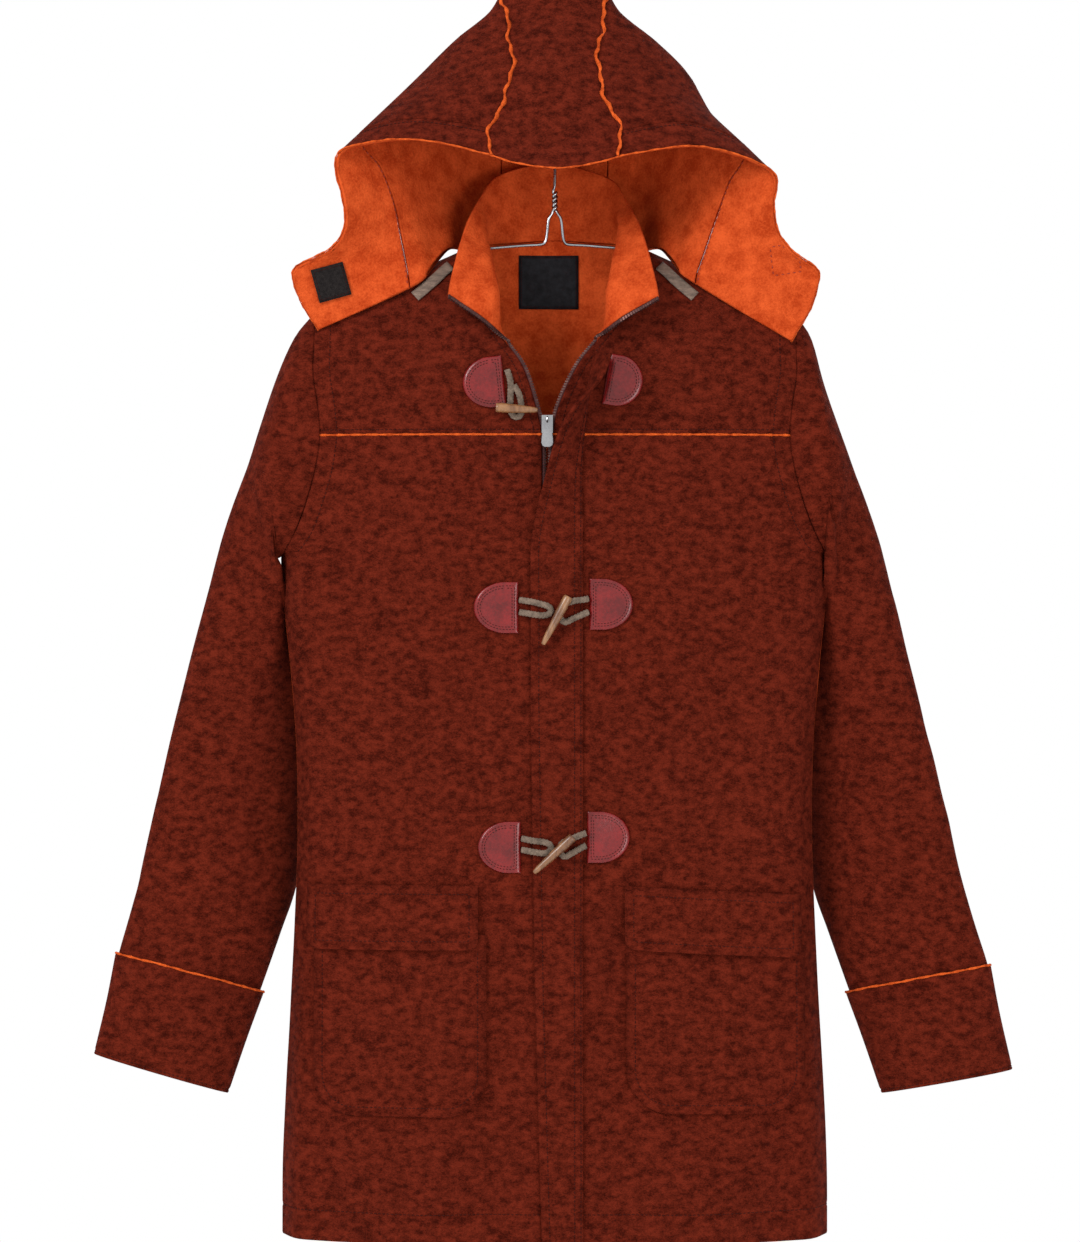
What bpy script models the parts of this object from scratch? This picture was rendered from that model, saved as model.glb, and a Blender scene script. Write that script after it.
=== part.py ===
"""Hooded fleece coat with toggles, hung on a wire hanger.

Sizes in the tables are millimetres. The front faces -Y and +Z is up. The origin is the
inner top of the hanger's hook. "left" and "right" are the viewer's, facing the front.
"""

from math import cos, pi, radians, sin

import bmesh
import bpy
import numpy as np
from mathutils import Matrix, Vector
from mathutils.bvhtree import BVHTree

MM = 0.001
CLOTH = 3.0
SEAM_PULL = 0.15
LAY_GAP = 0.4
TWIST_ALLOWANCE = 0.2
POCKET_CLOTH = 2.6
MERGE = 0.00001
FOLD_BACK = -0.35

# Armhole loop: angle from the shoulder point down to the underarm, in degrees.
LOOP_ANGLES = [0, 7.5, 15, 22.5, 30, 37.5, 45, 60, 75, 90, 105, 120, 135, 150, 165, 180]
ARM_MID = -419.0
ARM_HALF = 110.0
BITE_FRONT = 27.0
BITE_BACK = 30.0
RIDGE_X = (80.0, 222.0)
RIDGE_Z = (-247.0, -309.0)
SHOULDER_POWER = 2.5

# z, half width, front depth, back depth, roundness
TORSO = [
    (-230, 230, 44, 40, 3.0),
    (-309, 222, 44, 40, 3.0),
    (-330, 231, 44, 41, 3.0),
    (-367, 241, 44, 42, 2.9),
    (-415, 239, 44, 42, 2.9),
    (-482, 246, 45, 43, 2.8),
    (-529, 250, 46, 44, 2.7),
    (-568, 248, 46, 45, 2.7),
    (-626, 242, 47, 46, 2.7),
    (-706, 236, 48, 47, 2.6),
    (-774, 235, 49, 48, 2.6),
    (-838, 237, 51, 50, 2.6),
    (-892, 239, 53, 51, 2.5),
    (-946, 242, 55, 53, 2.5),
    (-1000, 245, 57, 54, 2.5),
    (-1054, 248, 59, 56, 2.5),
    (-1146, 249, 61, 58, 2.5),
]
BODY_LEVELS = [-570, -630, -700, -780, -860, -940, -1010, -1080, -1145]
COLUMN_SHARES = [0, 0.11, 0.22, 0.33, 0.44, 0.55, 0.66, 0.76, 0.86, 0.94, 1]
BACK_NECK = [(-80, 0, -247), (-72, 17, -243.5), (-56, 31, -240), (-30, 41, -237.5), (0, 45, -236)]

# Folds of the front and the back: x at the top, x at the foot, z top, z foot, half width, depth
FRONT_FOLDS = [
    (-36, -62, -880, -1120, 22, 7),
    (52, 66, -860, -1080, 24, 8),
    (-112, -128, -470, -760, 30, -5),
    (118, 108, -480, -800, 32, -5),
    (-150, -120, -1010, -1146, 30, -5),
    (150, 128, -1010, -1146, 30, -6),
]
BACK_FOLDS = [
    (-96, -122, -560, -1146, 30, 8),
    (8, -4, -660, -1146, 34, 9),
    (104, 128, -520, -1146, 30, 8),
    (-160, -176, -860, -1146, 26, -6),
    (60, 66, -420, -640, 34, 5),
]

# Open edge of each front above the zip, from the yoke seam up to the shoulder point: x, z
NECK_LEFT = [
    (-80, -247), (-79.5, -259), (-76, -272), (-70, -288), (-63, -304),
    (-55, -320), (-46, -334), (-29, -358), (-17, -395), (-11.5, -419),
]
NECK_RIGHT = [
    (80, -247), (79, -259), (75, -272), (68, -288), (60, -304),
    (51, -319), (41, -331), (21, -356), (4, -392), (-2.5, -419),
]

# Sleeve rings: outer point x, y, z; inner point x, y, z; half depth
SLEEVE = [
    (222, 0, -309, 250, 0, -529, 30),
    (236, 1, -329, 263, 4, -534, 35),
    (250, 2, -368, 268, 13, -550, 39),
    (273, 3, -436, 260, 36, -590, 41),
    (297, 6, -512, 238, 55, -642, 40),
    (335, 8, -650, 229, 60, -757, 35),
    (360, 6, -750, 238, 44, -828, 31),
    (377, 2, -824, 252, 27, -873, 28),
    (396, -3, -890, 270, 14, -926, 26),
    (404, -6, -933, 285, 6, -968, 25),
    (415, -8, -981, 301, -2, -1016, 24),
]
# How much wider the left sleeve hangs than the mean of both, at each height of its outer side
LEFT_WIDER = [(-981, 1.5), (-890, 1.5), (-700, 4.5), (-368, 4.5), (-309, 0)]
# The right sleeve hangs a little lower on its outer side
RIGHT_DROP = 14.0
RIGHT_DROP_FROM = -568.0
CUFF_FIRST_RING = 8
# The first rings, at the sleeve's cap, are as deep straight forward as they are back
CAP_RINGS = 3
SLEEVE_BODY_GAP = 2.0

# Collar stations of the left half, from the front edge to the back: base, roll and top edge
COLLAR_LEFT = [
    ((-46, None, -334), (-64, -60, -317), (-96, -62, -296)),
    ((-55, None, -320), (-54, -56, -297), (-94, -57, -283)),
    ((-63, None, -304), (-55, -46, -279), (-91, -50, -269)),
    ((-70, None, -288), (-58, -36, -264), (-88, -43, -255)),
    ((-76, None, -272), (-61, -24, -250), (-85, -33, -243)),
    ((-79.5, None, -259), (-63, -12, -238), (-81, -20, -228)),
    ((-80, 0, -247), (-65, 0, -226), (-76, -7, -215)),
    ((-72, 17, -243.5), (-62, 16, -218), (-69, 12, -200)),
    ((-56, 31, -240), (-50, 31, -212), (-58, 30, -180)),
    ((-30, 41, -237.5), (-28, 42, -204), (-33, 44, -168)),
    ((0, 45, -236), (0, 47, -202), (0, 50, -163)),
]
COLLAR_ROWS = 5

# Hood, left half. One row per arch, from the rim to the back gusset seam; the columns are
# gusset seam, roof, ridge, upper side, side, lower side, tab top, tab edge and neck edge.
HOOD_LEFT = [
    [(-57, -95, -175), (-125, -86, -160), (-193, -60, -167), (-191, -54, -205), (-189, -46, -232),
     (-200, -40, -250), (-237, -30, -271), (-231, -24, -296), (-214, -17.5, -323)],
    [(-57, -83, -150), (-125, -70, -139), (-178, -43, -150), (-159, -31, -178), (-147, -24, -208),
     (-141, -21, -235), (-136, -22, -258), (-133, -26, -273), (-130.5, -30, -287)],
    [(-42, -66, -113), (-100, -50, -108), (-152, -20, -121), (-134, -3, -158), (-124, 3, -192),
     (-118, 3, -220), (-114, -3, -242), (-112, -12, -257), (-112, -21.5, -270)],
    [(-38, -50, -85), (-84, -32, -80), (-123, -2, -90), (-112, 18, -130), (-106, 26, -168),
     (-101, 26, -199), (-98, 19, -223), (-97, 9, -238), (-97, 0, -249)],
    [(-42, -28, -50), (-67, -14, -48), (-90, 6, -57), (-90, 30, -98), (-91, 42, -140),
     (-89, 45, -176), (-87, 40, -208), (-86, 33, -230), (-85, 26, -247)],
    [(-47, -7, -21), (-56, 3, -26), (-63, 16, -40), (-71, 39, -74), (-75, 52, -114),
     (-74, 57, -154), (-72, 54, -192), (-69, 48, -222), (-66, 42, -246)],
    [(-48, 14, -5), (-50, 25, -11), (-50, 37, -26), (-50, 51, -60), (-50, 59, -105),
     (-50, 62, -150), (-49, 61, -190), (-47, 57, -222), (-44, 53, -246)],
]
HOOD_RIGHT_CHANGES = {
    0: [(57, -95, -176), (128, -86, -166), (194, -60, -184), (196, -54, -212), (200, -46, -236),
        (214, -40, -254), (239, -30, -273), (233, -24, -300), (214, -17.5, -334)],
    1: [(57, -83, -152), (116, -70, -142), (172, -43, -160), (159, -31, -190), (149, -24, -216),
        (141, -21, -238), (134, -22, -258), (129, -26, -271), (126, -31, -283)],
    2: [(42, -66, -113), (94, -50, -109), (141, -20, -126), (131, -3, -160), (123, 3, -193),
        (117, 3, -220), (113, -3, -242), (111, -12, -256), (110, -21.5, -268)],
}
GUSSET_CENTRE = [(-100, -187), (-88, -156), (-70, -107), (-54, -77), (-31, -38), (-8, 6.8), (14, 5.6)]
GUSSET_BACK_CENTRE = [
    (27, -5), (42, -20), (57, -56), (64, -104), (66, -150), (65, -190), (61, -222), (57, -246),
]
HOOD_COLUMN_STEPS = [2, 2, 2, 1, 1, 2, 1, 2]
HOOD_ROW_STEPS = [2, 3, 2, 2, 2, 1]
GUSSET_COLUMNS = 6
HOOD_PULL = 0.35
HOOD_REST = 1.0
COLLAR_PULL = 0.5

# Placket: z, stitched edge x, free edge x, how far the free edge stands forward
PLACKET = [
    (-1143, 25, -12, 0),
    (-1075, 25, -14, 0),
    (-1000, 25, -16, 0),
    (-930, 25, -18, 0),
    (-865, 25, -19, 0),
    (-800, 25, -20, 0),
    (-735, 25, -21, 0),
    (-670, 25, -22, 0),
    (-615, 25, -22, 0),
    (-565, 25, -22, 0.5),
    (-520, 25, -22, 2),
    (-490, 25, -17, 6),
    (-470, 25, -12, 11),
    (-452, 25, -7, 18),
    (-436, 26, -2, 26),
    (-421, 27, 4, 32),
    (-406, 29, 12, 37),
    (-393, 30, 22, 40),
    (-381, 32, 35, 42),
    (-368, 34, 45, 43),
    (-356, 36, 51, 43),
    (-345, 38, 52, 42),
]
PLACKET_COLUMNS = 4

# Pockets: centre x, top z, foot z, half width, slope of the top edge, corner radius
BAG_LEFT = (-139.5, -868, -1031, 78, 0, 36)
BAG_RIGHT = (145, -878, -1029, 81, -0.02, 38)
FLAP_LEFT = (-146.5, -824, -882, 77.5, 0.0, 10)
FLAP_RIGHT = (142.5, -829, -886, 80, -0.055, 10)
FLAP_LIFT = 1.9
FLAP_LEAD = 12.0

# Leather patches: name, x and z of the middle of the straight edge, side, turn, width
PATCH_HEIGHT = 46.0
PATCH_THICK = 1.8
PATCHES = [
    ("toggle_patch_top_left", -46, -371, -1, 6, 37),
    ("toggle_patch_top_right", 46, -369, 1, -10, 33),
    ("toggle_patch_middle_left", -33, -575, -1, 0, 40),
    ("toggle_patch_middle_right", 31, -572, 1, 0, 39),
    ("toggle_patch_low_left", -31, -790, -1, 0, 38),
    ("toggle_patch_low_right", 29, -781, 1, 0, 38),
]

# Cords: name and run of x, z and height of the cord's middle over the front
CORD_WIDTH = 5.6
CORD_THICK = 2.8
CORDS = [
    ("cord_top_left", [(-43, -361, 2.2), (-40, -372, 2.2), (-40, -385, 2.2), (-40, -397, 2.2),
                       (-37, -403, 2.2), (-32, -403, 2.2), (-30, -397, 2.2), (-32, -384, 2.2),
                       (-37, -375, 2.2)]),
    ("cord_middle_left", [(-31.8, -568, 2.2), (-26, -569, 5.4), (-20, -570, 6.3), (-12, -572, 6.1),
                          (-6, -574, 6.1), (-3.6, -577.5, 6.1), (-6, -581, 6.1), (-12, -582, 6.1),
                          (-20, -581, 6.3), (-26, -580, 5.4), (-31.8, -579, 2.2)]),
    ("cord_middle_right", [(29.8, -567, 3.6), (25, -568, 6.3), (17, -569, 6.3), (9, -572, 6.1),
                           (4.6, -577, 6.1), (4.6, -584, 6.1), (9, -588, 6.1), (16, -585, 6.1),
                           (25, -581, 6.3), (29.8, -579, 3.6)]),
    ("cord_low_left", [(-29.8, -782, 2.2), (-24, -783, 5.4), (-18, -784, 6.3), (-10, -785, 6.1),
                       (-5, -787, 6.1), (-3.6, -790, 6.1), (-5, -793, 6.1), (-10, -795, 6.1),
                       (-18, -794, 6.3), (-24, -793, 5.4), (-29.8, -792, 2.2)]),
    ("cord_low_right", [(27.8, -777, 5.1), (22, -779, 5.6), (15, -782, 5.4), (8, -785, 5.1),
                        (4.6, -789, 5.1), (5, -795, 5.1), (9, -798, 5.1), (15, -795, 5.4),
                        (22, -791, 5.6), (27.8, -788, 5.1)]),
]

# Toggles: name, thick end and thin end as x and z, height of the axis over the front
# The shape of a toggle: share of its length, radius
TOGGLE_SHAPE = [
    (0, 0), (0, 3.2), (0.04, 4.2), (0.3, 4.1), (0.55, 3.6), (0.8, 2.9), (0.97, 2.1), (1, 1.2), (1, 0),
]
TOGGLE_SIDES = 10
TOGGLES = [
    ("toggle_top", (-53, -395.5), (-15.5, -398), 8.4),
    ("toggle_middle", (12, -565), (-11, -608), 12.2),
    ("toggle_low", (16, -780), (-19, -812), 11.4),
]

# Zip: strips beside both edges, and the slider with its hinged pull tab
STRIP_NEAR = 0.45
STRIP_FAR = 4.0
STRIP_THICK = 1.8
STRIP_SUNK = 0.6
SLIDER_X = -7.0
SLIDER_TOP = -402.0
SLIDER_TALL = 16.0
SLIDER_WIDE = 10.0
PLATE = 1.8
PULL_AXIS_Z = -406.0
ARCH_RADIUS = 2.3
ARCH_WIRE = 0.85
POST_WIDE = 2.0
# The pull tab: height from the hinge, half width; its hole starts under the second row
PULL_ROWS = [
    (0.65, 4.0), (-0.65, 4.0), (-6.0, 4.0), (-7.5, 4.0), (-12, 4.3), (-17, 5.0), (-21, 5.2),
    (-23.5, 4.2), (-24.6, 2.2),
]
PULL_HOLE_ROW = 1
PULL_HOLE = 2.6
PULL_THICK = 1.3

# Small flat pieces: rows run down, each with its x and z limits
LABEL = (-33, 22, -249.5, -299)
LABEL_THICK = 0.8
SQUARE = (-202, -281.5, 15, 15)
SQUARE_THICK = 1.5
SQUARE_CLEAR = 0.9
TAPE_RUN = [(-130, -290), (-121, -282.5), (-112, -274.5), (-105, -267.5), (-98, -261)]
TAPE_WIDE = 10.0
TAPE_THICK = 1.2
TAPE_CLEAR = 0.7

# Hanger: the arm under the shoulder, the run from the neck to the twist, and the stem
WIRE = 1.4
WIRE_CLEAR = 0.5
HOOK_RADIUS = 19.4
HOOK_START = -20.0
HOOK_SWEEP = 230.0
HOOK_STEPS = 11
TWIST_RADIUS = 1.55
TWIST_FOOT = -213.0
TWIST_TALL = 17.0
TWIST_COUNT = 2
TWIST_STEPS = 18
HANGER_ARM = (198, 160, 120, 90, 72)
HANGER_NECK = [
    (58, -247), (30, -244.5), (13, -243.5), (9, -241.5), (7.4, -236), (6.2, -224), (5, -219), (3, -216),
]
HANGER_STEM = [(-1, -192), (0, -186), (0.5, -140), (1, -70), (4, -48), (13, -33)]


def hermite(table, at, column):
    """Smooth value at one station of a table whose first column falls."""
    keys = [row[0] for row in table]
    values = [row[column] for row in table]
    if at >= keys[0]:
        return values[0]
    if at <= keys[-1]:
        return values[-1]
    i = next(k for k in range(len(keys) - 1) if keys[k + 1] <= at)
    span = keys[i + 1] - keys[i]
    t = (at - keys[i]) / span

    def slope(k):
        if k == 0 or k == len(keys) - 1:
            return 0.0
        return (values[k + 1] - values[k - 1]) / (keys[k + 1] - keys[k - 1])

    a, b = slope(i) * span, slope(i + 1) * span
    h = (2 * t**3 - 3 * t**2 + 1, t**3 - 2 * t**2 + t, -2 * t**3 + 3 * t**2, t**3 - t**2)
    return h[0] * values[i] + h[1] * a + h[2] * values[i + 1] + h[3] * b


def half_width(z):
    return hermite(TORSO, z, 1)


def ridge_z(x):
    """Height of the shoulder seam over a distance x from the middle."""
    slope = (RIDGE_Z[1] - RIDGE_Z[0]) / (RIDGE_X[1] - RIDGE_X[0])
    return RIDGE_Z[0] + (abs(x) - RIDGE_X[0]) * slope


def fold_depth(folds, x, z):
    """How far the folds carry the cloth in, towards the middle of the coat."""
    total = 0.0
    for x_top, x_foot, z_top, z_foot, width, depth in folds:
        t = (z_top - z) / (z_top - z_foot)
        if t <= 0:
            continue
        t = min(t, 1.0)
        centre = x_top + (x_foot - x_top) * t
        fade = sin(min(t * 1.6, 1.0) * pi / 2)
        if z_foot > TORSO[-1][0]:
            fade = sin(t * pi)
        total += depth * fade * np.exp(-(((x - centre) / width) ** 2))
    return total


def torso_depth(x, z, column):
    """Distance of the cloth from the middle plane at this x and z."""
    power = hermite(TORSO, z, 4)
    across = min(abs(x) / half_width(z), 1.0)
    depth = hermite(TORSO, z, column) * (1 - across**power) ** (1 / power)
    up = (z - ARM_MID) / (ridge_z(x) - ARM_MID)
    up = min(max(up, 0.0), 1.0)
    return depth * (1 - up**SHOULDER_POWER) ** (1 / SHOULDER_POWER)


def edge_fade(x, z):
    """Brings the folds out to nothing at the side seams."""
    return max(0.0, 1 - (abs(x) / half_width(z)) ** 6)


def front_point(x, z):
    depth = torso_depth(x, z, 2)
    return (x, -depth + fold_depth(FRONT_FOLDS, x, z) * edge_fade(x, z), z)


def back_neck_rise(x, z):
    """Depth of the back above the yoke seam, led up to the standing neck edge."""
    edge = curve_point(BACK_NECK, x)
    up = min(max((z - ARM_MID) / (edge[2] - ARM_MID), 0.0), 1.0)
    power = SHOULDER_POWER
    return edge[1] + (torso_depth(x, ARM_MID, 3) - edge[1]) * (1 - up**power) ** (1 / power)


def back_point(x, z):
    depth = torso_depth(x, z, 3)
    if abs(x) < RIDGE_X[0] and z > ARM_MID:
        depth = back_neck_rise(x, z)
    return (x, depth - fold_depth(BACK_FOLDS, x, z) * edge_fade(x, z), z)


def curve_point(points, x):
    """Point of a symmetric neck curve at this x, along straight steps."""
    x = -abs(x)
    for a, b in zip(points, points[1:]):
        if a[0] <= x <= b[0]:
            t = (x - a[0]) / (b[0] - a[0])
            return tuple(a[i] + (b[i] - a[i]) * t for i in range(3))
    return points[0]


def armhole_point(side, angle, front):
    """Point of the armhole seam; side is -1 or 1, angle runs from shoulder to underarm."""
    a = radians(angle)
    z = ARM_MID + ARM_HALF * cos(a)
    bite = BITE_FRONT if front else BITE_BACK
    x = half_width(z) - bite * max(sin(a), 0.0) ** 1.5
    if angle in (0, 180):
        return (side * x, 0.0, z)
    return front_point(side * x, z) if front else back_point(side * x, z)


def catmull(points, steps):
    """Smooth run through the points, with the given number of steps in each span."""
    pts = np.array(points, dtype=float)
    ends = [2 * pts[0] - pts[1]], [2 * pts[-1] - pts[-2]]
    p = np.concatenate([ends[0], pts, ends[1]])
    run = []
    for i, count in enumerate(steps):
        a, b, c, d = p[i], p[i + 1], p[i + 2], p[i + 3]
        for k in range(count):
            t = k / count
            run.append(
                0.5 * (2 * b + (c - a) * t + (2 * a - 5 * b + 4 * c - d) * t**2
                       + (3 * b - a - 3 * c + d) * t**3)
            )
    run.append(pts[-1])
    return np.array(run)


class Cloth:
    """A sheet of cloth: a grid of points on its outer face, in millimetres."""

    made = {}

    def __init__(self, name, points, flip=False, thick=CLOTH, pull=SEAM_PULL):
        self.name = name
        self.points = np.array(points, dtype=float)
        self.flip = flip
        self.thick = thick
        self.pull = pull
        Cloth.made[name] = self

    def face_normals(self):
        """Area-weighted normals of the quads."""
        p = self.points
        a = p[1:, 1:] - p[:-1, :-1]
        b = p[1:, :-1] - p[:-1, 1:]
        n = np.cross(a, b)
        return -n if self.flip else n


def point_key(point):
    return tuple(np.round(point, 2))


def own_normals(sheet):
    """Unit normals at the points of one sheet."""
    faces = sheet.face_normals()
    sums = {}
    rows, columns = sheet.points.shape[:2]
    for i in range(rows - 1):
        for j in range(columns - 1):
            for di, dj in ((0, 0), (0, 1), (1, 0), (1, 1)):
                key = point_key(sheet.points[i + di, j + dj])
                sums[key] = sums.get(key, 0) + faces[i, j]
    return {key: n / max(np.linalg.norm(n), 1e-9) for key, n in sums.items()}


def shared_normals(sheets):
    """For each sheet, its unit normals, shared at the seams unless the cloth folds back there."""
    own = {sheet.name: own_normals(sheet) for sheet in sheets}
    meeting = {}
    for table in own.values():
        for key, normal in table.items():
            meeting.setdefault(key, []).append(normal)
    shared = {}
    for name, table in own.items():
        shared[name] = {}
        for key, normal in table.items():
            together = meeting[key]
            if min(float(normal @ other) for other in together) < FOLD_BACK:
                shared[name][key] = normal
            else:
                total = sum(together)
                shared[name][key] = total / np.linalg.norm(total)
    return shared


def pulled_in(sheet):
    """The grid with its edges drawn back a little from the seams."""
    p = sheet.points.copy()
    for axis in (0, 1):
        q = np.moveaxis(p, axis, 0)
        for edge, inner in ((0, 1), (-1, -2)):
            step = q[inner] - q[edge]
            length = np.linalg.norm(step, axis=-1, keepdims=True)
            q[edge] += step / np.maximum(length, 1e-9) * sheet.pull
    return p


def material(name, colour, roughness, metallic=0.0):
    m = bpy.data.materials.new(name)
    m.use_nodes = True
    shader = m.node_tree.nodes["Principled BSDF"]
    shader.inputs["Base Color"].default_value = (*colour, 1.0)
    shader.inputs["Roughness"].default_value = roughness
    shader.inputs["Metallic"].default_value = metallic
    return m


def finish_object(name, mesh, coat, look):
    obj = bpy.data.objects.new(name, mesh)
    coat.objects.link(obj)
    mesh.materials.append(look)
    return obj


def build_sheet(sheet, normals, coat, look):
    """Makes the closed wall of one sheet, with its thickness towards the inside."""
    rows, columns = sheet.points.shape[:2]
    bm = bmesh.new()
    bmesh.ops.create_grid(bm, x_segments=columns - 1, y_segments=rows - 1, size=0.5)
    placed = {}
    for vert in bm.verts:
        j = round((vert.co.x + 0.5) * (columns - 1))
        i = round((vert.co.y + 0.5) * (rows - 1))
        placed[vert] = (i, j)
    outer = pulled_in(sheet)
    inward = {}
    for vert, (i, j) in placed.items():
        vert.co = Vector(outer[i, j] * MM)
        inward[vert] = -normals[point_key(sheet.points[i, j])] * sheet.thick * MM
    own = list(bm.verts)
    faces = list(bm.faces)
    grown = bmesh.ops.duplicate(bm, geom=faces + own + list(bm.edges))
    twin = {v: grown["vert_map"][v] for v in own}
    for vert, other in twin.items():
        other.co = vert.co + Vector(inward[vert])
    for edge in [e for e in bm.edges if e.is_boundary]:
        a, b = edge.verts
        if a in twin and b in twin:
            bm.faces.new((a, b, twin[b], twin[a]))
    bmesh.ops.recalc_face_normals(bm, faces=bm.faces)
    mesh = bpy.data.meshes.new(sheet.name)
    bm.to_mesh(mesh)
    bm.free()
    return finish_object(sheet.name, mesh, coat, look)


def front_panel(side):
    """Front below the yoke seam: rows of points from the zip edge to the side."""
    inner_x = NECK_LEFT[-1][0] if side < 0 else NECK_RIGHT[-1][0]
    ends = [armhole_point(side, a, True) for a in LOOP_ANGLES if a >= 90]
    ends += [(side * half_width(z), 0.0, z) for z in BODY_LEVELS]
    return [row_between((inner_x, end[2]), end, front_point) for end in ends]


def row_between(start, end, place):
    """Points from a start x and z to an end point, set on the body by place."""
    row = []
    for share in COLUMN_SHARES[:-1]:
        x = start[0] + (end[0] - start[0]) * share
        z = start[1] + (end[2] - start[1]) * share
        row.append(place(x, z))
    return row + [end]


def front_yoke(side):
    neck = NECK_LEFT if side < 0 else NECK_RIGHT
    rows = []
    for (x, z), angle in zip(neck, [a for a in LOOP_ANGLES if a <= 90]):
        end = armhole_point(side, angle, True)
        if angle == 0:
            rows.append(ridge_row(side))
        else:
            rows.append(row_between((x, z), end, front_point))
    return rows


def ridge_row(side):
    """The shoulder seam, from the neck out to the sleeve."""
    near, far = RIDGE_X
    run = [near + (far - near) * share for share in COLUMN_SHARES]
    return [(side * x, 0.0, ridge_z(x)) for x in run]


def neck_back_run():
    left = [tuple(p) for p in BACK_NECK]
    right = [(-x, y, z) for x, y, z in reversed(left[:-1])]
    return left + right


def back_yoke():
    """Back yoke, its top row along both shoulder seams and round the back neck."""
    top = ridge_row(-1)[::-1][:-1] + neck_back_run() + ridge_row(1)[1:]
    outer = armhole_point(1, 90, False)[0]
    top_outer = top[-1][0]
    rows = []
    for angle in [a for a in LOOP_ANGLES if a <= 90]:
        share = cos(radians(angle))
        loop_x = armhole_point(1, angle, False)[0]
        row = []
        for x_top, y_top, z_top in top:
            spread = x_top / top_outer
            x_low = outer * spread
            mend = (loop_x - (outer + (top_outer - outer) * share)) * spread * spread
            x = x_low + (x_top - x_low) * share + (mend if x_top > 0 else -mend)
            z = ARM_MID + (z_top - ARM_MID) * share
            row.append(back_point(x, z))
        row[0] = armhole_point(-1, angle, False)
        row[-1] = armhole_point(1, angle, False)
        rows.append(top if angle == 0 else row)
    return rows


def back_panel():
    low = back_yoke()[-1]
    shares = [x / low[-1][0] for x, _, _ in low]
    ends = [armhole_point(1, a, False) for a in LOOP_ANGLES if a >= 90]
    ends += [(half_width(z), 0.0, z) for z in BODY_LEVELS]
    rows = []
    for k, (x_end, y_end, z) in enumerate(ends):
        row = [back_point(x_end * share, z) for share in shares]
        row[0] = (-x_end, y_end, z)
        row[-1] = (x_end, y_end, z)
        rows.append(low if k == 0 else row)
    return rows


def clear_of_body(point):
    """Moves a sleeve point out of the body's outline."""
    x, y, z = point
    if z > ARM_MID:
        return point
    width = half_width(z) + SLEEVE_BODY_GAP
    depth = hermite(TORSO, z, 3 if y > 0 else 2) + SLEEVE_BODY_GAP
    power = hermite(TORSO, z, 4)
    across, deep = abs(x) / width, abs(y) / depth
    reach = across**power + deep**power
    if reach >= 1:
        return point
    if y > 0:
        return np.array([x, depth * (1 - across**power) ** (1 / power), z])
    return np.array([np.sign(x) * width * (1 - deep**power) ** (1 / power), y, z])


def sleeve(side):
    """Rings of the sleeve, each from the underarm round the back to the underarm."""
    turns = [-a for a in reversed(LOOP_ANGLES)] + LOOP_ANGLES[1:]
    table = np.array(SLEEVE, dtype=float)
    heights, extra = zip(*LEFT_WIDER)
    table[:, 0] -= side * np.interp(table[:, 2], heights, extra)
    if side > 0:
        reach = np.clip((RIGHT_DROP_FROM - table[:, 2]) / (RIGHT_DROP_FROM - table[-1, 2]), 0, 1)
        table[:, 2] -= RIGHT_DROP * reach
    outer = table[:, 0:3] * (side, 1, 1)
    inner = table[:, 3:6] * (side, 1, 1)
    middle = (outer + inner) / 2
    rings = []
    first_rest = None
    for i, row in enumerate(table):
        before, after = middle[max(i - 1, 0)], middle[min(i + 1, len(table) - 1)]
        along = (after - before) / np.linalg.norm(after - before)
        half = (outer[i] - inner[i]) / 2
        if i < CAP_RINGS:
            deep = half * half[1] / (half @ half) - np.array([0.0, 1.0, 0.0])
        else:
            deep = np.cross(along, half)
        deep = deep / np.linalg.norm(deep) * row[6]
        if deep[1] > 0:
            deep = -deep
        ring = np.array([middle[i] + half * cos(radians(a)) + deep * sin(radians(a)) for a in turns])
        if i == 0:
            loop = np.array([armhole_point(side, abs(a), a > 0) for a in turns])
            first_rest = loop - ring
            ring = loop
        else:
            share = max(0.0, 1 - i / 4) ** 1.5
            ring = ring + first_rest * share
            ring = np.array([clear_of_body(p) for p in ring])
        rings.append(ring)
    return rings


def moved_out(rows, normals, distance):
    """The same points, moved along the outward normals."""
    return [[p + normals[point_key(p)] * distance for p in row] for row in rows]


def collar():
    """Collar from the left front edge round the back to the right front edge."""
    stations = []
    for base, roll, top in COLLAR_LEFT:
        if base[1] is None:
            base = front_point(base[0], base[2])
        stations.append([base, roll, top])
    right = []
    right_neck = NECK_RIGHT[6::-1]
    for k, (base, roll, top) in enumerate(stations[:-1]):
        if k < 6:
            base = front_point(*right_neck[k])
        else:
            base = (-base[0], base[1], base[2])
        right.append([base, (-roll[0] - 4, roll[1], roll[2] + 1), (-top[0] - 3, top[1], top[2] - 2)])
    run = stations + right[::-1]
    columns = [catmull(s, [2, COLLAR_ROWS - 2]) for s in run]
    return [[column[i] for column in columns] for i in range(COLLAR_ROWS + 1)]


def hood_table(side):
    rows = [[tuple(p) for p in row] for row in HOOD_LEFT]
    if side > 0:
        rows = [[(-x, y, z) for x, y, z in row] for row in rows]
        for index, row in HOOD_RIGHT_CHANGES.items():
            rows[index] = row
    return rows


def clear_of_front(point):
    """Moves a hood point forward of the front where it hangs over the shoulder."""
    x, y, z = point
    if y > 0 or z > ridge_z(x) - 0.5:
        return point
    return np.array([x, min(y, front_point(x, z)[1] - HOOD_REST), z])


def hood_grid(side):
    """The whole side of the hood: rows from rim to back, columns from gusset to neck."""
    rows = [catmull(row, HOOD_COLUMN_STEPS) for row in hood_table(side)]
    columns = [catmull([row[j] for row in rows], HOOD_ROW_STEPS) for j in range(len(rows[0]))]
    return [[clear_of_front(column[i]) for column in columns] for i in range(len(columns[0]))]


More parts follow.
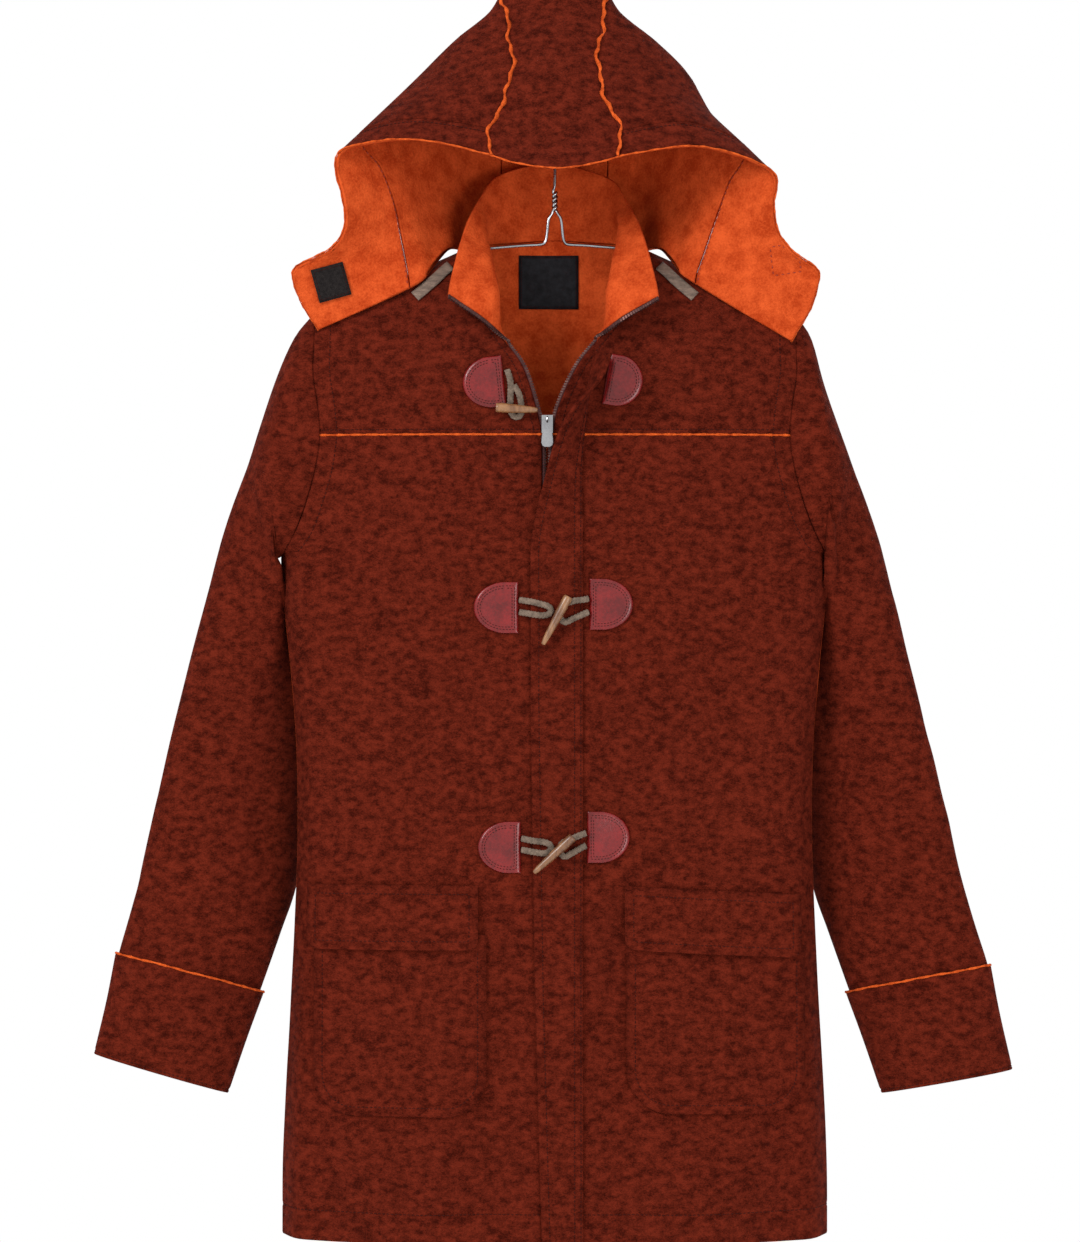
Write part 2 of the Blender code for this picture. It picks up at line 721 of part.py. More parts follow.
def hood_gusset(left, right):
    """The middle strip, between both gusset seams, from the rim over the crown to the neck."""
    centre_top = catmull([(0, y, z) for y, z in GUSSET_CENTRE], HOOD_ROW_STEPS)
    back = [(0, *GUSSET_CENTRE[-1])] + [(0, y, z) for y, z in GUSSET_BACK_CENTRE]
    centre_back = catmull(back, HOOD_COLUMN_STEPS)
    centre = list(centre_top) + list(centre_back[1:])
    seams = []
    for grid in (left, right):
        seams.append([row[0] for row in grid] + list(grid[-1][1:]))
    rows = []
    for a, c, b in zip(seams[0], centre, seams[1]):
        row = []
        for k in range(GUSSET_COLUMNS + 1):
            u = 2 * k / GUSSET_COLUMNS - 1
            side = a if u < 0 else b
            point = np.array([side[0] * abs(u), *(c[1:] + (side[1:] - c[1:]) * u * u)])
            row.append(point)
        rows.append(row)
    return rows


def facing_tree(objects):
    """A search tree of the finished solids, in metres."""
    verts, faces = [], []
    for obj in objects:
        start = len(verts)
        verts += [v.co.copy() for v in obj.data.vertices]
        faces += [[start + i for i in f.vertices] for f in obj.data.polygons]
    return BVHTree.FromPolygons(verts, faces)


def front_surface(tree, x, z, spread=3.0):
    """The foremost cloth near this x and z, as y in millimetres."""
    found = []
    while not found:
        for dx, dz in ((0, 0), (spread, 0), (-spread, 0), (0, spread), (0, -spread)):
            start = Vector(((x + dx) * MM, -0.4, (z + dz) * MM))
            hit = tree.ray_cast(start, Vector((0, 1, 0)))[0]
            if hit is not None:
                found.append(hit.y / MM)
        spread += 4.0
    return min(found)


def rest_on(tree, rows, gap):
    """Brings a grid forward until its faces clear the cloth under them."""
    grid = np.array(rows, dtype=float)
    count, width = grid.shape[:2]
    parts = np.linspace(0, 1, 8)
    for _ in range(4):
        for i in range(count - 1):
            for j in range(width - 1):
                a, b, c, d = grid[i, j], grid[i, j + 1], grid[i + 1, j], grid[i + 1, j + 1]
                short = 0.0
                for u in parts:
                    for v in parts:
                        p = (a * (1 - u) + b * u) * (1 - v) + (c * (1 - u) + d * u) * v
                        start = Vector((p[0] * MM, -0.4, p[2] * MM))
                        hit = tree.ray_cast(start, Vector((0, 1, 0)))[0]
                        if hit is not None:
                            short = max(short, p[1] - (hit.y / MM - gap))
                if short > 0:
                    for k, m in ((i, j), (i, j + 1), (i + 1, j), (i + 1, j + 1)):
                        grid[k, m, 1] -= short
    return grid


def laid(name, outline, tree, thick, extra=TWIST_ALLOWANCE, rise=None):
    """A piece that lies on the front: a grid of x and z set out from the cloth under it.

    rise gives the heights between which it climbs onto a piece under it, and how far.
    """
    rows = [[(x, front_surface(tree, x, z, 0.0) - LAY_GAP, z) for x, z in row] for row in outline]
    grid = rest_on(tree, rows, LAY_GAP + extra)
    grid[..., 1] -= thick
    if rise:
        top, foot, height = rise
        grid[..., 1] -= height * np.clip((top - grid[..., 2]) / (top - foot), 0, 1)
    return Cloth(name, grid, flip=True, thick=thick, pull=0.0)


def pocket_outline(spec):
    """Rows of x and z of a pocket bag or flap whose lower corners are round."""
    centre, top, foot, half, slope, radius = spec
    corner = [0, 0.3, 0.6, 0.82, 1.0]
    levels = [top + (foot + radius - top) * t for t in (0, 0.33, 0.66)]
    levels += [foot + radius * (1 - sin(t * pi / 2)) for t in corner]
    rows = []
    for z in levels:
        low = max(0.0, (foot + radius - z) / radius)
        width = half - radius * (1 - (1 - min(low, 1.0) ** 2) ** 0.5)
        row = []
        for k in range(9):
            x = centre + width * (k / 4 - 1)
            row.append((x, z + slope * (x - centre)))
        rows.append(row)
    return rows


def patch_outline(edge_x, mid_z, side, tilt, wide):
    """Rows of x and z of a leather patch with one straight edge and one round side."""
    rows = []
    for share in (1, 0.92, 0.7, 0.35, 0, -0.35, -0.7, -0.92, -1):
        width = wide * (0.3 + 0.7 * (1 - share * share) ** 0.5)
        row = []
        for k in range(5):
            dx, dz = side * width * k / 4, PATCH_HEIGHT / 2 * share
            a = radians(tilt)
            row.append((edge_x + dx * cos(a) - dz * sin(a), mid_z + dx * sin(a) + dz * cos(a)))
        rows.append(row if side > 0 else row[::-1])
    return rows


def placket(tree):
    rows = []
    for z, root, free, lift in PLACKET:
        row = []
        for k in range(PLACKET_COLUMNS + 1):
            share = k / PLACKET_COLUMNS
            x = free + (root - free) * share
            bow = lift * (1 - share) ** 0.8
            row.append((x, front_surface(tree, x, z) - LAY_GAP - CLOTH - bow, z))
        rows.append(row)
    return Cloth("placket", rows, pull=0.0)


def tube(name, points, radius, coat, look, sides=2):
    """A round wire or cord through the points, with filled ends."""
    curve = bpy.data.curves.new(name, "CURVE")
    curve.dimensions = "3D"
    curve.bevel_depth = radius * MM
    curve.bevel_resolution = sides
    curve.use_fill_caps = True
    spline = curve.splines.new("POLY")
    spline.points.add(len(points) - 1)
    for point, co in zip(spline.points, points):
        point.co = (*[c * MM for c in co], 1.0)
    curve.materials.append(look)
    obj = bpy.data.objects.new(name, curve)
    coat.objects.link(obj)
    return obj


def cord(name, run, tree, coat, look):
    """A flat cord: a round one drawn on the plane of the front, then pressed flat."""
    flat = CORD_THICK / CORD_WIDTH
    level = front_level(tree, run)
    points = [(x, z, (height - level) / flat) for x, z, height in run]
    obj = tube(name, points, CORD_WIDTH / 2, coat, look)
    obj.rotation_euler = (pi / 2, 0, 0)
    obj.scale = (1, 1, flat)


def front_level(tree, run):
    """The foremost cloth under a run of x, z points, as y in millimetres."""
    return min(front_surface(tree, point[0], point[1]) for point in run)


def toggle(name, thick_end, thin_end, height, tree, coat, look):
    """A tapered toggle, turned about its own axis."""
    level = front_level(tree, [thick_end, thin_end])
    a = Vector((thick_end[0], level - height, thick_end[1]))
    b = Vector((thin_end[0], level - height, thin_end[1]))
    mesh = bpy.data.meshes.new(name)
    bm = bmesh.new()
    length = (b - a).length
    previous = None
    for share, radius in TOGGLE_SHAPE:
        vert = bm.verts.new((radius * MM, 0, share * length * MM))
        if previous is not None:
            bm.edges.new((previous, vert))
        previous = vert
    bmesh.ops.spin(
        bm, geom=list(bm.verts) + list(bm.edges), axis=(0, 0, 1), cent=(0, 0, 0),
        angle=2 * pi, steps=TOGGLE_SIDES, use_merge=True,
    )
    bmesh.ops.remove_doubles(bm, verts=bm.verts, dist=MERGE)
    bmesh.ops.recalc_face_normals(bm, faces=bm.faces)
    turn = (b - a).to_track_quat("Z", "Y").to_matrix().to_4x4()
    bm.transform(Matrix.Translation(a * MM) @ turn)
    bm.to_mesh(mesh)
    bm.free()
    return finish_object(name, mesh, coat, look)


def zip_strip(name, side):
    """The tape and teeth along one front edge, from the collar's corner down to the hem."""
    word = "left" if side < 0 else "right"
    collar_grid = Cloth.made["collar"].points
    edge, near = (0, 1) if side < 0 else (-1, -2)
    pairs = [(row[edge], row[near]) for row in collar_grid[::-1]]
    yoke = Cloth.made["front_yoke_" + word].points
    panel = Cloth.made["front_panel_" + word].points
    corner = next(i for i, row in enumerate(yoke) if np.allclose(row[0], pairs[-1][0]))
    pairs += [(row[0], row[1]) for row in yoke[corner + 1:]]
    pairs += [(row[0], row[1]) for row in panel[1:-1]]
    rows = []
    for here, inside in pairs:
        out = (here - inside) / np.linalg.norm(here - inside)
        rows.append([here + out * STRIP_NEAR, here + out * STRIP_FAR])
    grid = np.array(rows)
    strip = Cloth(name, grid, flip=side < 0, thick=STRIP_THICK, pull=0.0)
    strip.points = np.array(moved_out(grid, own_normals(strip), -STRIP_SUNK))
    return strip


def box_mesh(low, high):
    bm = bmesh.new()
    bmesh.ops.create_cube(bm, size=1.0)
    for vert in bm.verts:
        for axis in range(3):
            middle = (low[axis] + high[axis]) / 2
            vert.co[axis] = (middle + vert.co[axis] * (high[axis] - low[axis])) * MM
    return bm


def slider(front_y, coat, cutters, look):
    """The zip slider: two plates joined by a post, with an arch for the pull tab."""
    half = SLIDER_WIDE / 2
    foot = SLIDER_TOP - SLIDER_TALL
    face = front_y - LAY_GAP
    back = front_y + CLOTH + LAY_GAP
    boxes = [
        ((SLIDER_X - half, face - PLATE, foot), (SLIDER_X + half, face, SLIDER_TOP)),
        ((SLIDER_X - half, back, foot), (SLIDER_X + half, back + PLATE, SLIDER_TOP)),
        (
            (SLIDER_X - POST_WIDE / 2, face - 0.5, SLIDER_TOP - 3),
            (SLIDER_X + POST_WIDE / 2, back + 0.5, SLIDER_TOP - 0.2),
        ),
    ]
    parts = []
    for k, (low, high) in enumerate(boxes):
        mesh = bpy.data.meshes.new(f"slider_part_{k}")
        bm = box_mesh(low, high)
        bm.to_mesh(mesh)
        bm.free()
        parts.append(bpy.data.objects.new("zip_slider" if k == 0 else f"slider_part_{k}", mesh))
    parts.append(bpy.data.objects.new("slider_arch", ring_mesh(pull_axis_y(front_y))))
    body = parts[0]
    coat.objects.link(body)
    body.data.materials.append(look)
    for part in parts[1:]:
        cutters.objects.link(part)
        part.hide_render = True
        part.display_type = "WIRE"
        union = body.modifiers.new("join_" + part.name, "BOOLEAN")
        union.operation = "UNION"
        union.solver = "EXACT"
        union.object = part
    return body


def ring_mesh(axis_y):
    """The ring of the arch, round the hinge axis, its back sunk into the front plate."""
    bm = bmesh.new()
    bmesh.ops.create_circle(bm, segments=8, radius=ARCH_WIRE * MM)
    bm.transform(Matrix.Translation((0, ARCH_RADIUS * MM, 0)))
    geom = list(bm.verts) + list(bm.edges)
    bmesh.ops.spin(
        bm, geom=geom, axis=(1, 0, 0), cent=(0, 0, 0), angle=2 * pi, steps=12, use_merge=True,
    )
    bmesh.ops.remove_doubles(bm, verts=bm.verts, dist=MERGE)
    bmesh.ops.recalc_face_normals(bm, faces=bm.faces)
    bm.transform(Matrix.Translation((SLIDER_X * MM, axis_y * MM, PULL_AXIS_Z * MM)))
    mesh = bpy.data.meshes.new("slider_arch")
    bm.to_mesh(mesh)
    bm.free()
    return mesh


def pull_axis_y(front_y):
    return front_y - LAY_GAP - PLATE - ARCH_RADIUS + ARCH_WIRE + 0.1


def pull_tab(front_y, coat, look):
    """The pull tab: a thin plate with a hole for the slider's arch, its origin on the hinge."""
    bm = bmesh.new()
    rows = []
    for z, wide in PULL_ROWS:
        hole = min(PULL_HOLE, wide * 0.6)
        rows.append([bm.verts.new((x * MM, 0, z * MM)) for x in (-wide, -hole, hole, wide)])
    for i in range(len(rows) - 1):
        for j in range(3):
            if j == 1 and i == PULL_HOLE_ROW:
                continue
            bm.faces.new((rows[i][j], rows[i][j + 1], rows[i + 1][j + 1], rows[i + 1][j]))
    mesh = bpy.data.meshes.new("zip_pull")
    bm.to_mesh(mesh)
    bm.free()
    obj = finish_object("zip_pull", mesh, coat, look)
    obj.location = (SLIDER_X * MM, pull_axis_y(front_y) * MM, PULL_AXIS_Z * MM)
    wall = obj.modifiers.new("wall", "SOLIDIFY")
    wall.thickness = PULL_THICK * MM
    wall.offset = 0.0
    return obj


def flat_grid(x_low, x_high, z_top, z_foot, columns, rows):
    xs = np.linspace(x_low, x_high, columns + 1)
    return [[(x, z) for x in xs] for z in np.linspace(z_top, z_foot, rows + 1)]


def turned_square():
    """Rows of x and z of the small square on the left throat tab."""
    x, z, half, turn = SQUARE
    a = radians(turn)
    rows = []
    for v in (1, 0, -1):
        row = []
        for u in (-1, 0, 1):
            dx, dz = half * u, half * v
            row.append((x + dx * cos(a) - dz * sin(a), z + dx * sin(a) + dz * cos(a)))
        rows.append(row)
    return rows


def tape_outline(side):
    """Rows of x and z of the tape under the hood's lower edge."""
    run = np.array(TAPE_RUN, dtype=float)
    along = run[-1] - run[0]
    along = along / np.linalg.norm(along)
    down = np.array([along[1], -along[0]]) * TAPE_WIDE
    low = run + down
    rows = [[(x, z) for x, z in run * (1 - t) + low * t] for t in (0, 0.33, 0.67, 1)]
    if side > 0:
        rows = [[(-x, z) for x, z in row[::-1]] for row in rows]
    return rows


def hanger_halves(coat, look):
    """Both halves of the wire, twisted under the hook; the left half goes on into the hook."""
    slope = (RIDGE_Z[0] - RIDGE_Z[1]) / (RIDGE_X[1] - RIDGE_X[0])
    drop = (CLOTH + WIRE_CLEAR + WIRE) * (1 + slope**2) ** 0.5
    for side, name in ((-1, "hanger_left"), (1, "hanger_right")):
        run = [(side * x, 0, ridge_z(x) - drop) for x in HANGER_ARM]
        run += [(side * x, 0, z) for x, z in HANGER_NECK]
        start = 0.0 if side > 0 else pi
        for k in range(TWIST_STEPS + 1):
            share = k / TWIST_STEPS
            a = start + 2 * pi * TWIST_COUNT * share
            run.append((TWIST_RADIUS * cos(a), TWIST_RADIUS * sin(a), TWIST_FOOT + TWIST_TALL * share))
        if side < 0:
            run += [(x, 0, z) for x, z in HANGER_STEM]
            for k in range(HOOK_STEPS + 1):
                a = radians(HOOK_START + HOOK_SWEEP * k / HOOK_STEPS)
                run.append((HOOK_RADIUS * cos(a), 0, HOOK_RADIUS * sin(a) - HOOK_RADIUS + WIRE))
        tube(name, run, WIRE, coat, look)


def main():
    for obj in list(bpy.data.objects):
        bpy.data.objects.remove(obj)
    coat = bpy.data.collections.new("hooded_toggle_coat")
    bpy.context.scene.collection.children.link(coat)
    cutters = bpy.data.collections.new("joined_parts")
    cutters.hide_render = True
    bpy.context.scene.collection.children.link(cutters)
    fleece = material("fleece", (0.14, 0.018, 0.01), 0.95)
    leather = material("leather", (0.22, 0.01, 0.012), 0.3)
    cord_look = material("cord", (0.2, 0.14, 0.1), 0.9)
    horn = material("horn", (0.32, 0.12, 0.03), 0.45)
    chrome = material("chrome", (0.7, 0.7, 0.7), 0.2, 1.0)
    tape = material("tape", (0.03, 0.03, 0.03), 0.8)

    for side, word in ((-1, "left"), (1, "right")):
        Cloth("front_panel_" + word, front_panel(side), flip=side > 0)
        Cloth("front_yoke_" + word, front_yoke(side), flip=side > 0)
        Cloth("sleeve_" + word, sleeve(side), flip=side < 0)
    Cloth("back_panel", back_panel())
    Cloth("back_yoke", back_yoke())
    Cloth("collar", collar(), flip=True, pull=COLLAR_PULL)
    grids = {side: hood_grid(side) for side in (-1, 1)}
    band_rows = HOOD_ROW_STEPS[0]
    for side, word in ((-1, "left"), (1, "right")):
        Cloth("hood_band_" + word, grids[side][: band_rows + 1], flip=side < 0, pull=HOOD_PULL)
        Cloth("hood_side_" + word, grids[side][band_rows:], flip=side < 0, pull=HOOD_PULL)
    Cloth("hood_gusset", hood_gusset(grids[-1], grids[1]), pull=HOOD_PULL)

    normals = shared_normals(list(Cloth.made.values()))
    objects = {}
    for name, sheet in list(Cloth.made.items()):
        objects[name] = build_sheet(sheet, normals[name], coat, fleece)
    for word in ("left", "right"):
        rings = Cloth.made["sleeve_" + word].points[CUFF_FIRST_RING:]
        band = moved_out(rings, normals["sleeve_" + word], CLOTH + LAY_GAP)
        cuff = Cloth("cuff_" + word, band, flip=word == "left")
        objects[cuff.name] = build_sheet(cuff, own_normals(cuff), coat, fleece)

    fronts = [objects[n] for n in objects if n.startswith("front_")]
    tree = facing_tree(fronts)

    def add(sheet, look):
        objects[sheet.name] = build_sheet(sheet, own_normals(sheet), coat, look)

    add(placket(tree), fleece)
    for word, bag, flap in (("left", BAG_LEFT, FLAP_LEFT), ("right", BAG_RIGHT, FLAP_RIGHT)):
        add(laid("pocket_bag_" + word, pocket_outline(bag), tree, POCKET_CLOTH), fleece)
        rise = (flap[1], bag[1] + FLAP_LEAD, POCKET_CLOTH + FLAP_LIFT)
        outline = pocket_outline(flap)
        add(laid("pocket_flap_" + word, outline, tree, POCKET_CLOTH, rise=rise), fleece)
    for name, *shape in PATCHES:
        add(laid(name, patch_outline(*shape), tree, PATCH_THICK), leather)
    back = facing_tree([objects["back_yoke"]])
    add(laid("neck_label", flat_grid(*LABEL, 4, 3), back, LABEL_THICK), tape)
    tab = facing_tree([objects["hood_band_left"]])
    add(laid("tab_square", turned_square(), tab, SQUARE_THICK, SQUARE_CLEAR), tape)
    for side, word in ((-1, "left"), (1, "right")):
        add(laid("hood_tape_" + word, tape_outline(side), tree, TAPE_THICK, TAPE_CLEAR), cord_look)
        add(zip_strip("zip_" + word, side), tape)
    for name, run in CORDS:
        cord(name, run, tree, coat, cord_look)
    for name, thick_end, thin_end, height in TOGGLES:
        toggle(name, thick_end, thin_end, height, tree, coat, horn)
    front_y = front_surface(tree, SLIDER_X, SLIDER_TOP - SLIDER_TALL / 2, 6.0)
    slider(front_y, coat, cutters, chrome)
    pull_tab(front_y, coat, chrome)
    hanger_halves(coat, chrome)


main()
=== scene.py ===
"""Looks of the hooded fleece coat with toggles, on its wire hanger.

The sizes in the tables are millimetres; meshes are made in metres in the frame of the CAD
model: the front faces -Y, +Z is up and the origin is the inner top of the hanger's hook.
"left" and "right" are the viewer's, facing the front.
"""

import logging
from collections.abc import Callable, Sequence
from dataclasses import dataclass, field
from enum import Enum
from math import atan, cos, pi, radians, sin

import bmesh
import bpy
import numpy as np
from mathutils import Matrix, Vector
from mathutils.bvhtree import BVHTree


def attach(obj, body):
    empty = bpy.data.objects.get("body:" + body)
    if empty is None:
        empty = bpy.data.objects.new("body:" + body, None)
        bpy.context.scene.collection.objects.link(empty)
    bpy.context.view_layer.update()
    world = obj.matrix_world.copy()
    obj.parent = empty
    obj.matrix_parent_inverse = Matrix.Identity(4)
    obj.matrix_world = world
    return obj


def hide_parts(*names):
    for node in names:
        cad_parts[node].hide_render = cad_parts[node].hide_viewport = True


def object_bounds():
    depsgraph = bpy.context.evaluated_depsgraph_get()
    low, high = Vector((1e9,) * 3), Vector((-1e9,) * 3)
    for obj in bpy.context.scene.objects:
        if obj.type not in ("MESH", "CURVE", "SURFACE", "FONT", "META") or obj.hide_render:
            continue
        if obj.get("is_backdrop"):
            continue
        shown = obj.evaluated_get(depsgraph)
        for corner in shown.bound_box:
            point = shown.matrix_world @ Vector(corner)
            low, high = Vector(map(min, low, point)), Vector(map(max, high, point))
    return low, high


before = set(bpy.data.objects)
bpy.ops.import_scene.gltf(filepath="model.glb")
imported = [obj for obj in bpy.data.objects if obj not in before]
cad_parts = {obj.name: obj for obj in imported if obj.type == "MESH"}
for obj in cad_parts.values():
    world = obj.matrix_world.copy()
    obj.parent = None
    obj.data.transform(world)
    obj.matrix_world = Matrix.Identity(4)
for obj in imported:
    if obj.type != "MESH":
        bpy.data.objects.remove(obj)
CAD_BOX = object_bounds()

LOG = logging.getLogger("coat")

Point = Sequence[float]
Row = list[Point]
Rows = list[Row]

MM = 0.001
CLOTH = 3.0
LAY_GAP = 0.4
POCKET_CLOTH = 2.6
BODY = "coat"

# Armhole loop: angle from the shoulder point down to the underarm, in degrees.
LOOP_ANGLES = [0, 7.5, 15, 22.5, 30, 37.5, 45, 60, 75, 90, 105, 120, 135, 150, 165, 180]
ARM_MID = -419.0
ARM_HALF = 110.0
BITE_FRONT = 27.0
BITE_BACK = 30.0
RIDGE_X = (80.0, 222.0)
RIDGE_Z = (-247.0, -309.0)
SHOULDER_POWER = 2.5

# z, half width, front depth, back depth, roundness
TORSO = [
    (-230, 230, 44, 40, 3.0),
    (-309, 222, 44, 40, 3.0),
    (-330, 231, 44, 41, 3.0),
    (-367, 241, 44, 42, 2.9),
    (-415, 239, 44, 42, 2.9),
    (-482, 246, 45, 43, 2.8),
    (-529, 250, 46, 44, 2.7),
    (-568, 248, 46, 45, 2.7),
    (-626, 242, 47, 46, 2.7),
    (-706, 236, 48, 47, 2.6),
    (-774, 235, 49, 48, 2.6),
    (-838, 237, 51, 50, 2.6),
    (-892, 239, 53, 51, 2.5),
    (-946, 242, 55, 53, 2.5),
    (-1000, 245, 57, 54, 2.5),
    (-1054, 248, 59, 56, 2.5),
    (-1146, 249, 61, 58, 2.5),
]
BODY_LEVELS = [-570, -630, -700, -780, -860, -940, -1010, -1080, -1145]
COLUMN_SHARES = [0, 0.11, 0.22, 0.33, 0.44, 0.55, 0.66, 0.76, 0.86, 0.94, 1]
BACK_NECK = [(-80, 0, -247), (-72, 17, -243.5), (-56, 31, -240), (-30, 41, -237.5), (0, 45, -236)]

# Folds of the front and the back: x at the top, x at the foot, z top, z foot, half width, depth
FRONT_FOLDS = [
    (-36, -62, -880, -1120, 22, 7),
    (52, 66, -860, -1080, 24, 8),
    (-112, -128, -470, -760, 30, -5),
    (118, 108, -480, -800, 32, -5),
    (-150, -120, -1010, -1146, 30, -5),
    (150, 128, -1010, -1146, 30, -6),
]
BACK_FOLDS = [
    (-96, -122, -560, -1146, 30, 8),
    (8, -4, -660, -1146, 34, 9),
    (104, 128, -520, -1146, 30, 8),
    (-160, -176, -860, -1146, 26, -6),
    (60, 66, -420, -640, 34, 5),
]

# Open edge of each front above the zip, from the yoke seam up to the shoulder point: x, z
NECK_LEFT = [
    (-80, -247), (-79.5, -259), (-76, -272), (-70, -288), (-63, -304),
    (-55, -320), (-46, -334), (-29, -358), (-17, -395), (-11.5, -419),
]
NECK_RIGHT = [
    (80, -247), (79, -259), (75, -272), (68, -288), (60, -304),
    (51, -319), (41, -331), (21, -356), (4, -392), (-2.5, -419),
]

# Sleeve rings: outer point x, y, z; inner point x, y, z; half depth
SLEEVE = [
    (222, 0, -309, 250, 0, -529, 30),
    (236, 1, -329, 263, 4, -534, 35),
    (250, 2, -368, 268, 13, -550, 39),
    (273, 3, -436, 260, 36, -590, 41),
    (297, 6, -512, 238, 55, -642, 40),
    (335, 8, -650, 229, 60, -757, 35),
    (360, 6, -750, 238, 44, -828, 31),
    (377, 2, -824, 252, 27, -873, 28),
    (396, -3, -890, 270, 14, -926, 26),
    (404, -6, -933, 285, 6, -968, 25),
    (415, -8, -981, 301, -2, -1016, 24),
]
# How much wider the left sleeve hangs than the mean of both, at each height of its outer side
LEFT_WIDER = [(-981, 1.5), (-890, 1.5), (-700, 4.5), (-368, 4.5), (-309, 0)]
# The right sleeve hangs a little lower on its outer side
RIGHT_DROP = 14.0
RIGHT_DROP_FROM = -568.0
CUFF_FIRST_RING = 8
# The first rings, at the sleeve's cap, are as deep straight forward as they are back
CAP_RINGS = 3
SLEEVE_BODY_GAP = 2.0

# Collar stations of the left half, from the front edge to the back: base, roll and top edge
COLLAR_LEFT = [
    ((-46, None, -334), (-64, -60, -317), (-96, -62, -296)),
    ((-55, None, -320), (-54, -56, -297), (-94, -57, -283)),
    ((-63, None, -304), (-55, -46, -279), (-91, -50, -269)),
    ((-70, None, -288), (-58, -36, -264), (-88, -43, -255)),
    ((-76, None, -272), (-61, -24, -250), (-85, -33, -243)),
    ((-79.5, None, -259), (-63, -12, -238), (-81, -20, -228)),
    ((-80, 0, -247), (-65, 0, -226), (-76, -7, -215)),
    ((-72, 17, -243.5), (-62, 16, -218), (-69, 12, -200)),
    ((-56, 31, -240), (-50, 31, -212), (-58, 30, -180)),
    ((-30, 41, -237.5), (-28, 42, -204), (-33, 44, -168)),
    ((0, 45, -236), (0, 47, -202), (0, 50, -163)),
]
COLLAR_ROWS = 5

# Hood, left half. One row per arch, from the rim to the back gusset seam; the columns are
# gusset seam, roof, ridge, upper side, side, lower side, tab top, tab edge and neck edge.
HOOD_LEFT = [
    [(-57, -95, -175), (-125, -86, -160), (-193, -60, -167), (-191, -54, -205), (-189, -46, -232),
     (-200, -40, -250), (-237, -30, -271), (-231, -24, -296), (-214, -17.5, -323)],
    [(-57, -83, -150), (-125, -70, -139), (-178, -43, -150), (-159, -31, -178), (-147, -24, -208),
     (-141, -21, -235), (-136, -22, -258), (-133, -26, -273), (-130.5, -30, -287)],
    [(-42, -66, -113), (-100, -50, -108), (-152, -20, -121), (-134, -3, -158), (-124, 3, -192),
     (-118, 3, -220), (-114, -3, -242), (-112, -12, -257), (-112, -21.5, -270)],
    [(-38, -50, -85), (-84, -32, -80), (-123, -2, -90), (-112, 18, -130), (-106, 26, -168),
     (-101, 26, -199), (-98, 19, -223), (-97, 9, -238), (-97, 0, -249)],
    [(-42, -28, -50), (-67, -14, -48), (-90, 6, -57), (-90, 30, -98), (-91, 42, -140),
     (-89, 45, -176), (-87, 40, -208), (-86, 33, -230), (-85, 26, -247)],
    [(-47, -7, -21), (-56, 3, -26), (-63, 16, -40), (-71, 39, -74), (-75, 52, -114),
     (-74, 57, -154), (-72, 54, -192), (-69, 48, -222), (-66, 42, -246)],
    [(-48, 14, -5), (-50, 25, -11), (-50, 37, -26), (-50, 51, -60), (-50, 59, -105),
     (-50, 62, -150), (-49, 61, -190), (-47, 57, -222), (-44, 53, -246)],
]
HOOD_RIGHT_CHANGES = {
    0: [(57, -95, -176), (128, -86, -166), (194, -60, -184), (196, -54, -212), (200, -46, -236),
        (214, -40, -254), (239, -30, -273), (233, -24, -300), (214, -17.5, -334)],
    1: [(57, -83, -152), (116, -70, -142), (172, -43, -160), (159, -31, -190), (149, -24, -216),
        (141, -21, -238), (134, -22, -258), (129, -26, -271), (126, -31, -283)],
    2: [(42, -66, -113), (94, -50, -109), (141, -20, -126), (131, -3, -160), (123, 3, -193),
        (117, 3, -220), (113, -3, -242), (111, -12, -256), (110, -21.5, -268)],
}
GUSSET_CENTRE = [(-100, -187), (-88, -156), (-70, -107), (-54, -77), (-31, -38), (-8, 6.8), (14, 5.6)]
GUSSET_BACK_CENTRE = [
    (27, -5), (42, -20), (57, -56), (64, -104), (66, -150), (65, -190), (61, -222), (57, -246),
]
HOOD_COLUMN_STEPS = [2, 2, 2, 1, 1, 2, 1, 2]
HOOD_ROW_STEPS = [2, 3, 2, 2, 2, 1]
GUSSET_COLUMNS = 6
HOOD_REST = 1.0

# Placket: z, stitched edge x, free edge x, how far the free edge stands forward
PLACKET = [
    (-1143, 25, -12, 0),
    (-1075, 25, -14, 0),
    (-1000, 25, -16, 0),
    (-930, 25, -18, 0),
    (-865, 25, -19, 0),
    (-800, 25, -20, 0),
    (-735, 25, -21, 0),
    (-670, 25, -22, 0),
    (-615, 25, -22, 0),
    (-565, 25, -22, 0.5),
    (-520, 25, -22, 2),
    (-490, 25, -17, 6),
    (-470, 25, -12, 11),
    (-452, 25, -7, 18),
    (-436, 26, -2, 26),
    (-421, 27, 4, 32),
    (-406, 29, 12, 37),
    (-393, 30, 22, 40),
    (-381, 32, 35, 42),
    (-368, 34, 45, 43),
    (-356, 36, 51, 43),
    (-345, 38, 52, 42),
]
PLACKET_COLUMNS = 4

# Pockets: centre x, top z, foot z, half width, slope of the top edge, corner radius
BAG_LEFT = (-139.5, -868, -1031, 78, 0, 36)
BAG_RIGHT = (145, -878, -1029, 81, -0.02, 38)
FLAP_LEFT = (-146.5, -824, -882, 77.5, 0.0, 10)
FLAP_RIGHT = (142.5, -829, -886, 80, -0.055, 10)
FLAP_LIFT = 1.9
FLAP_LEAD = 12.0

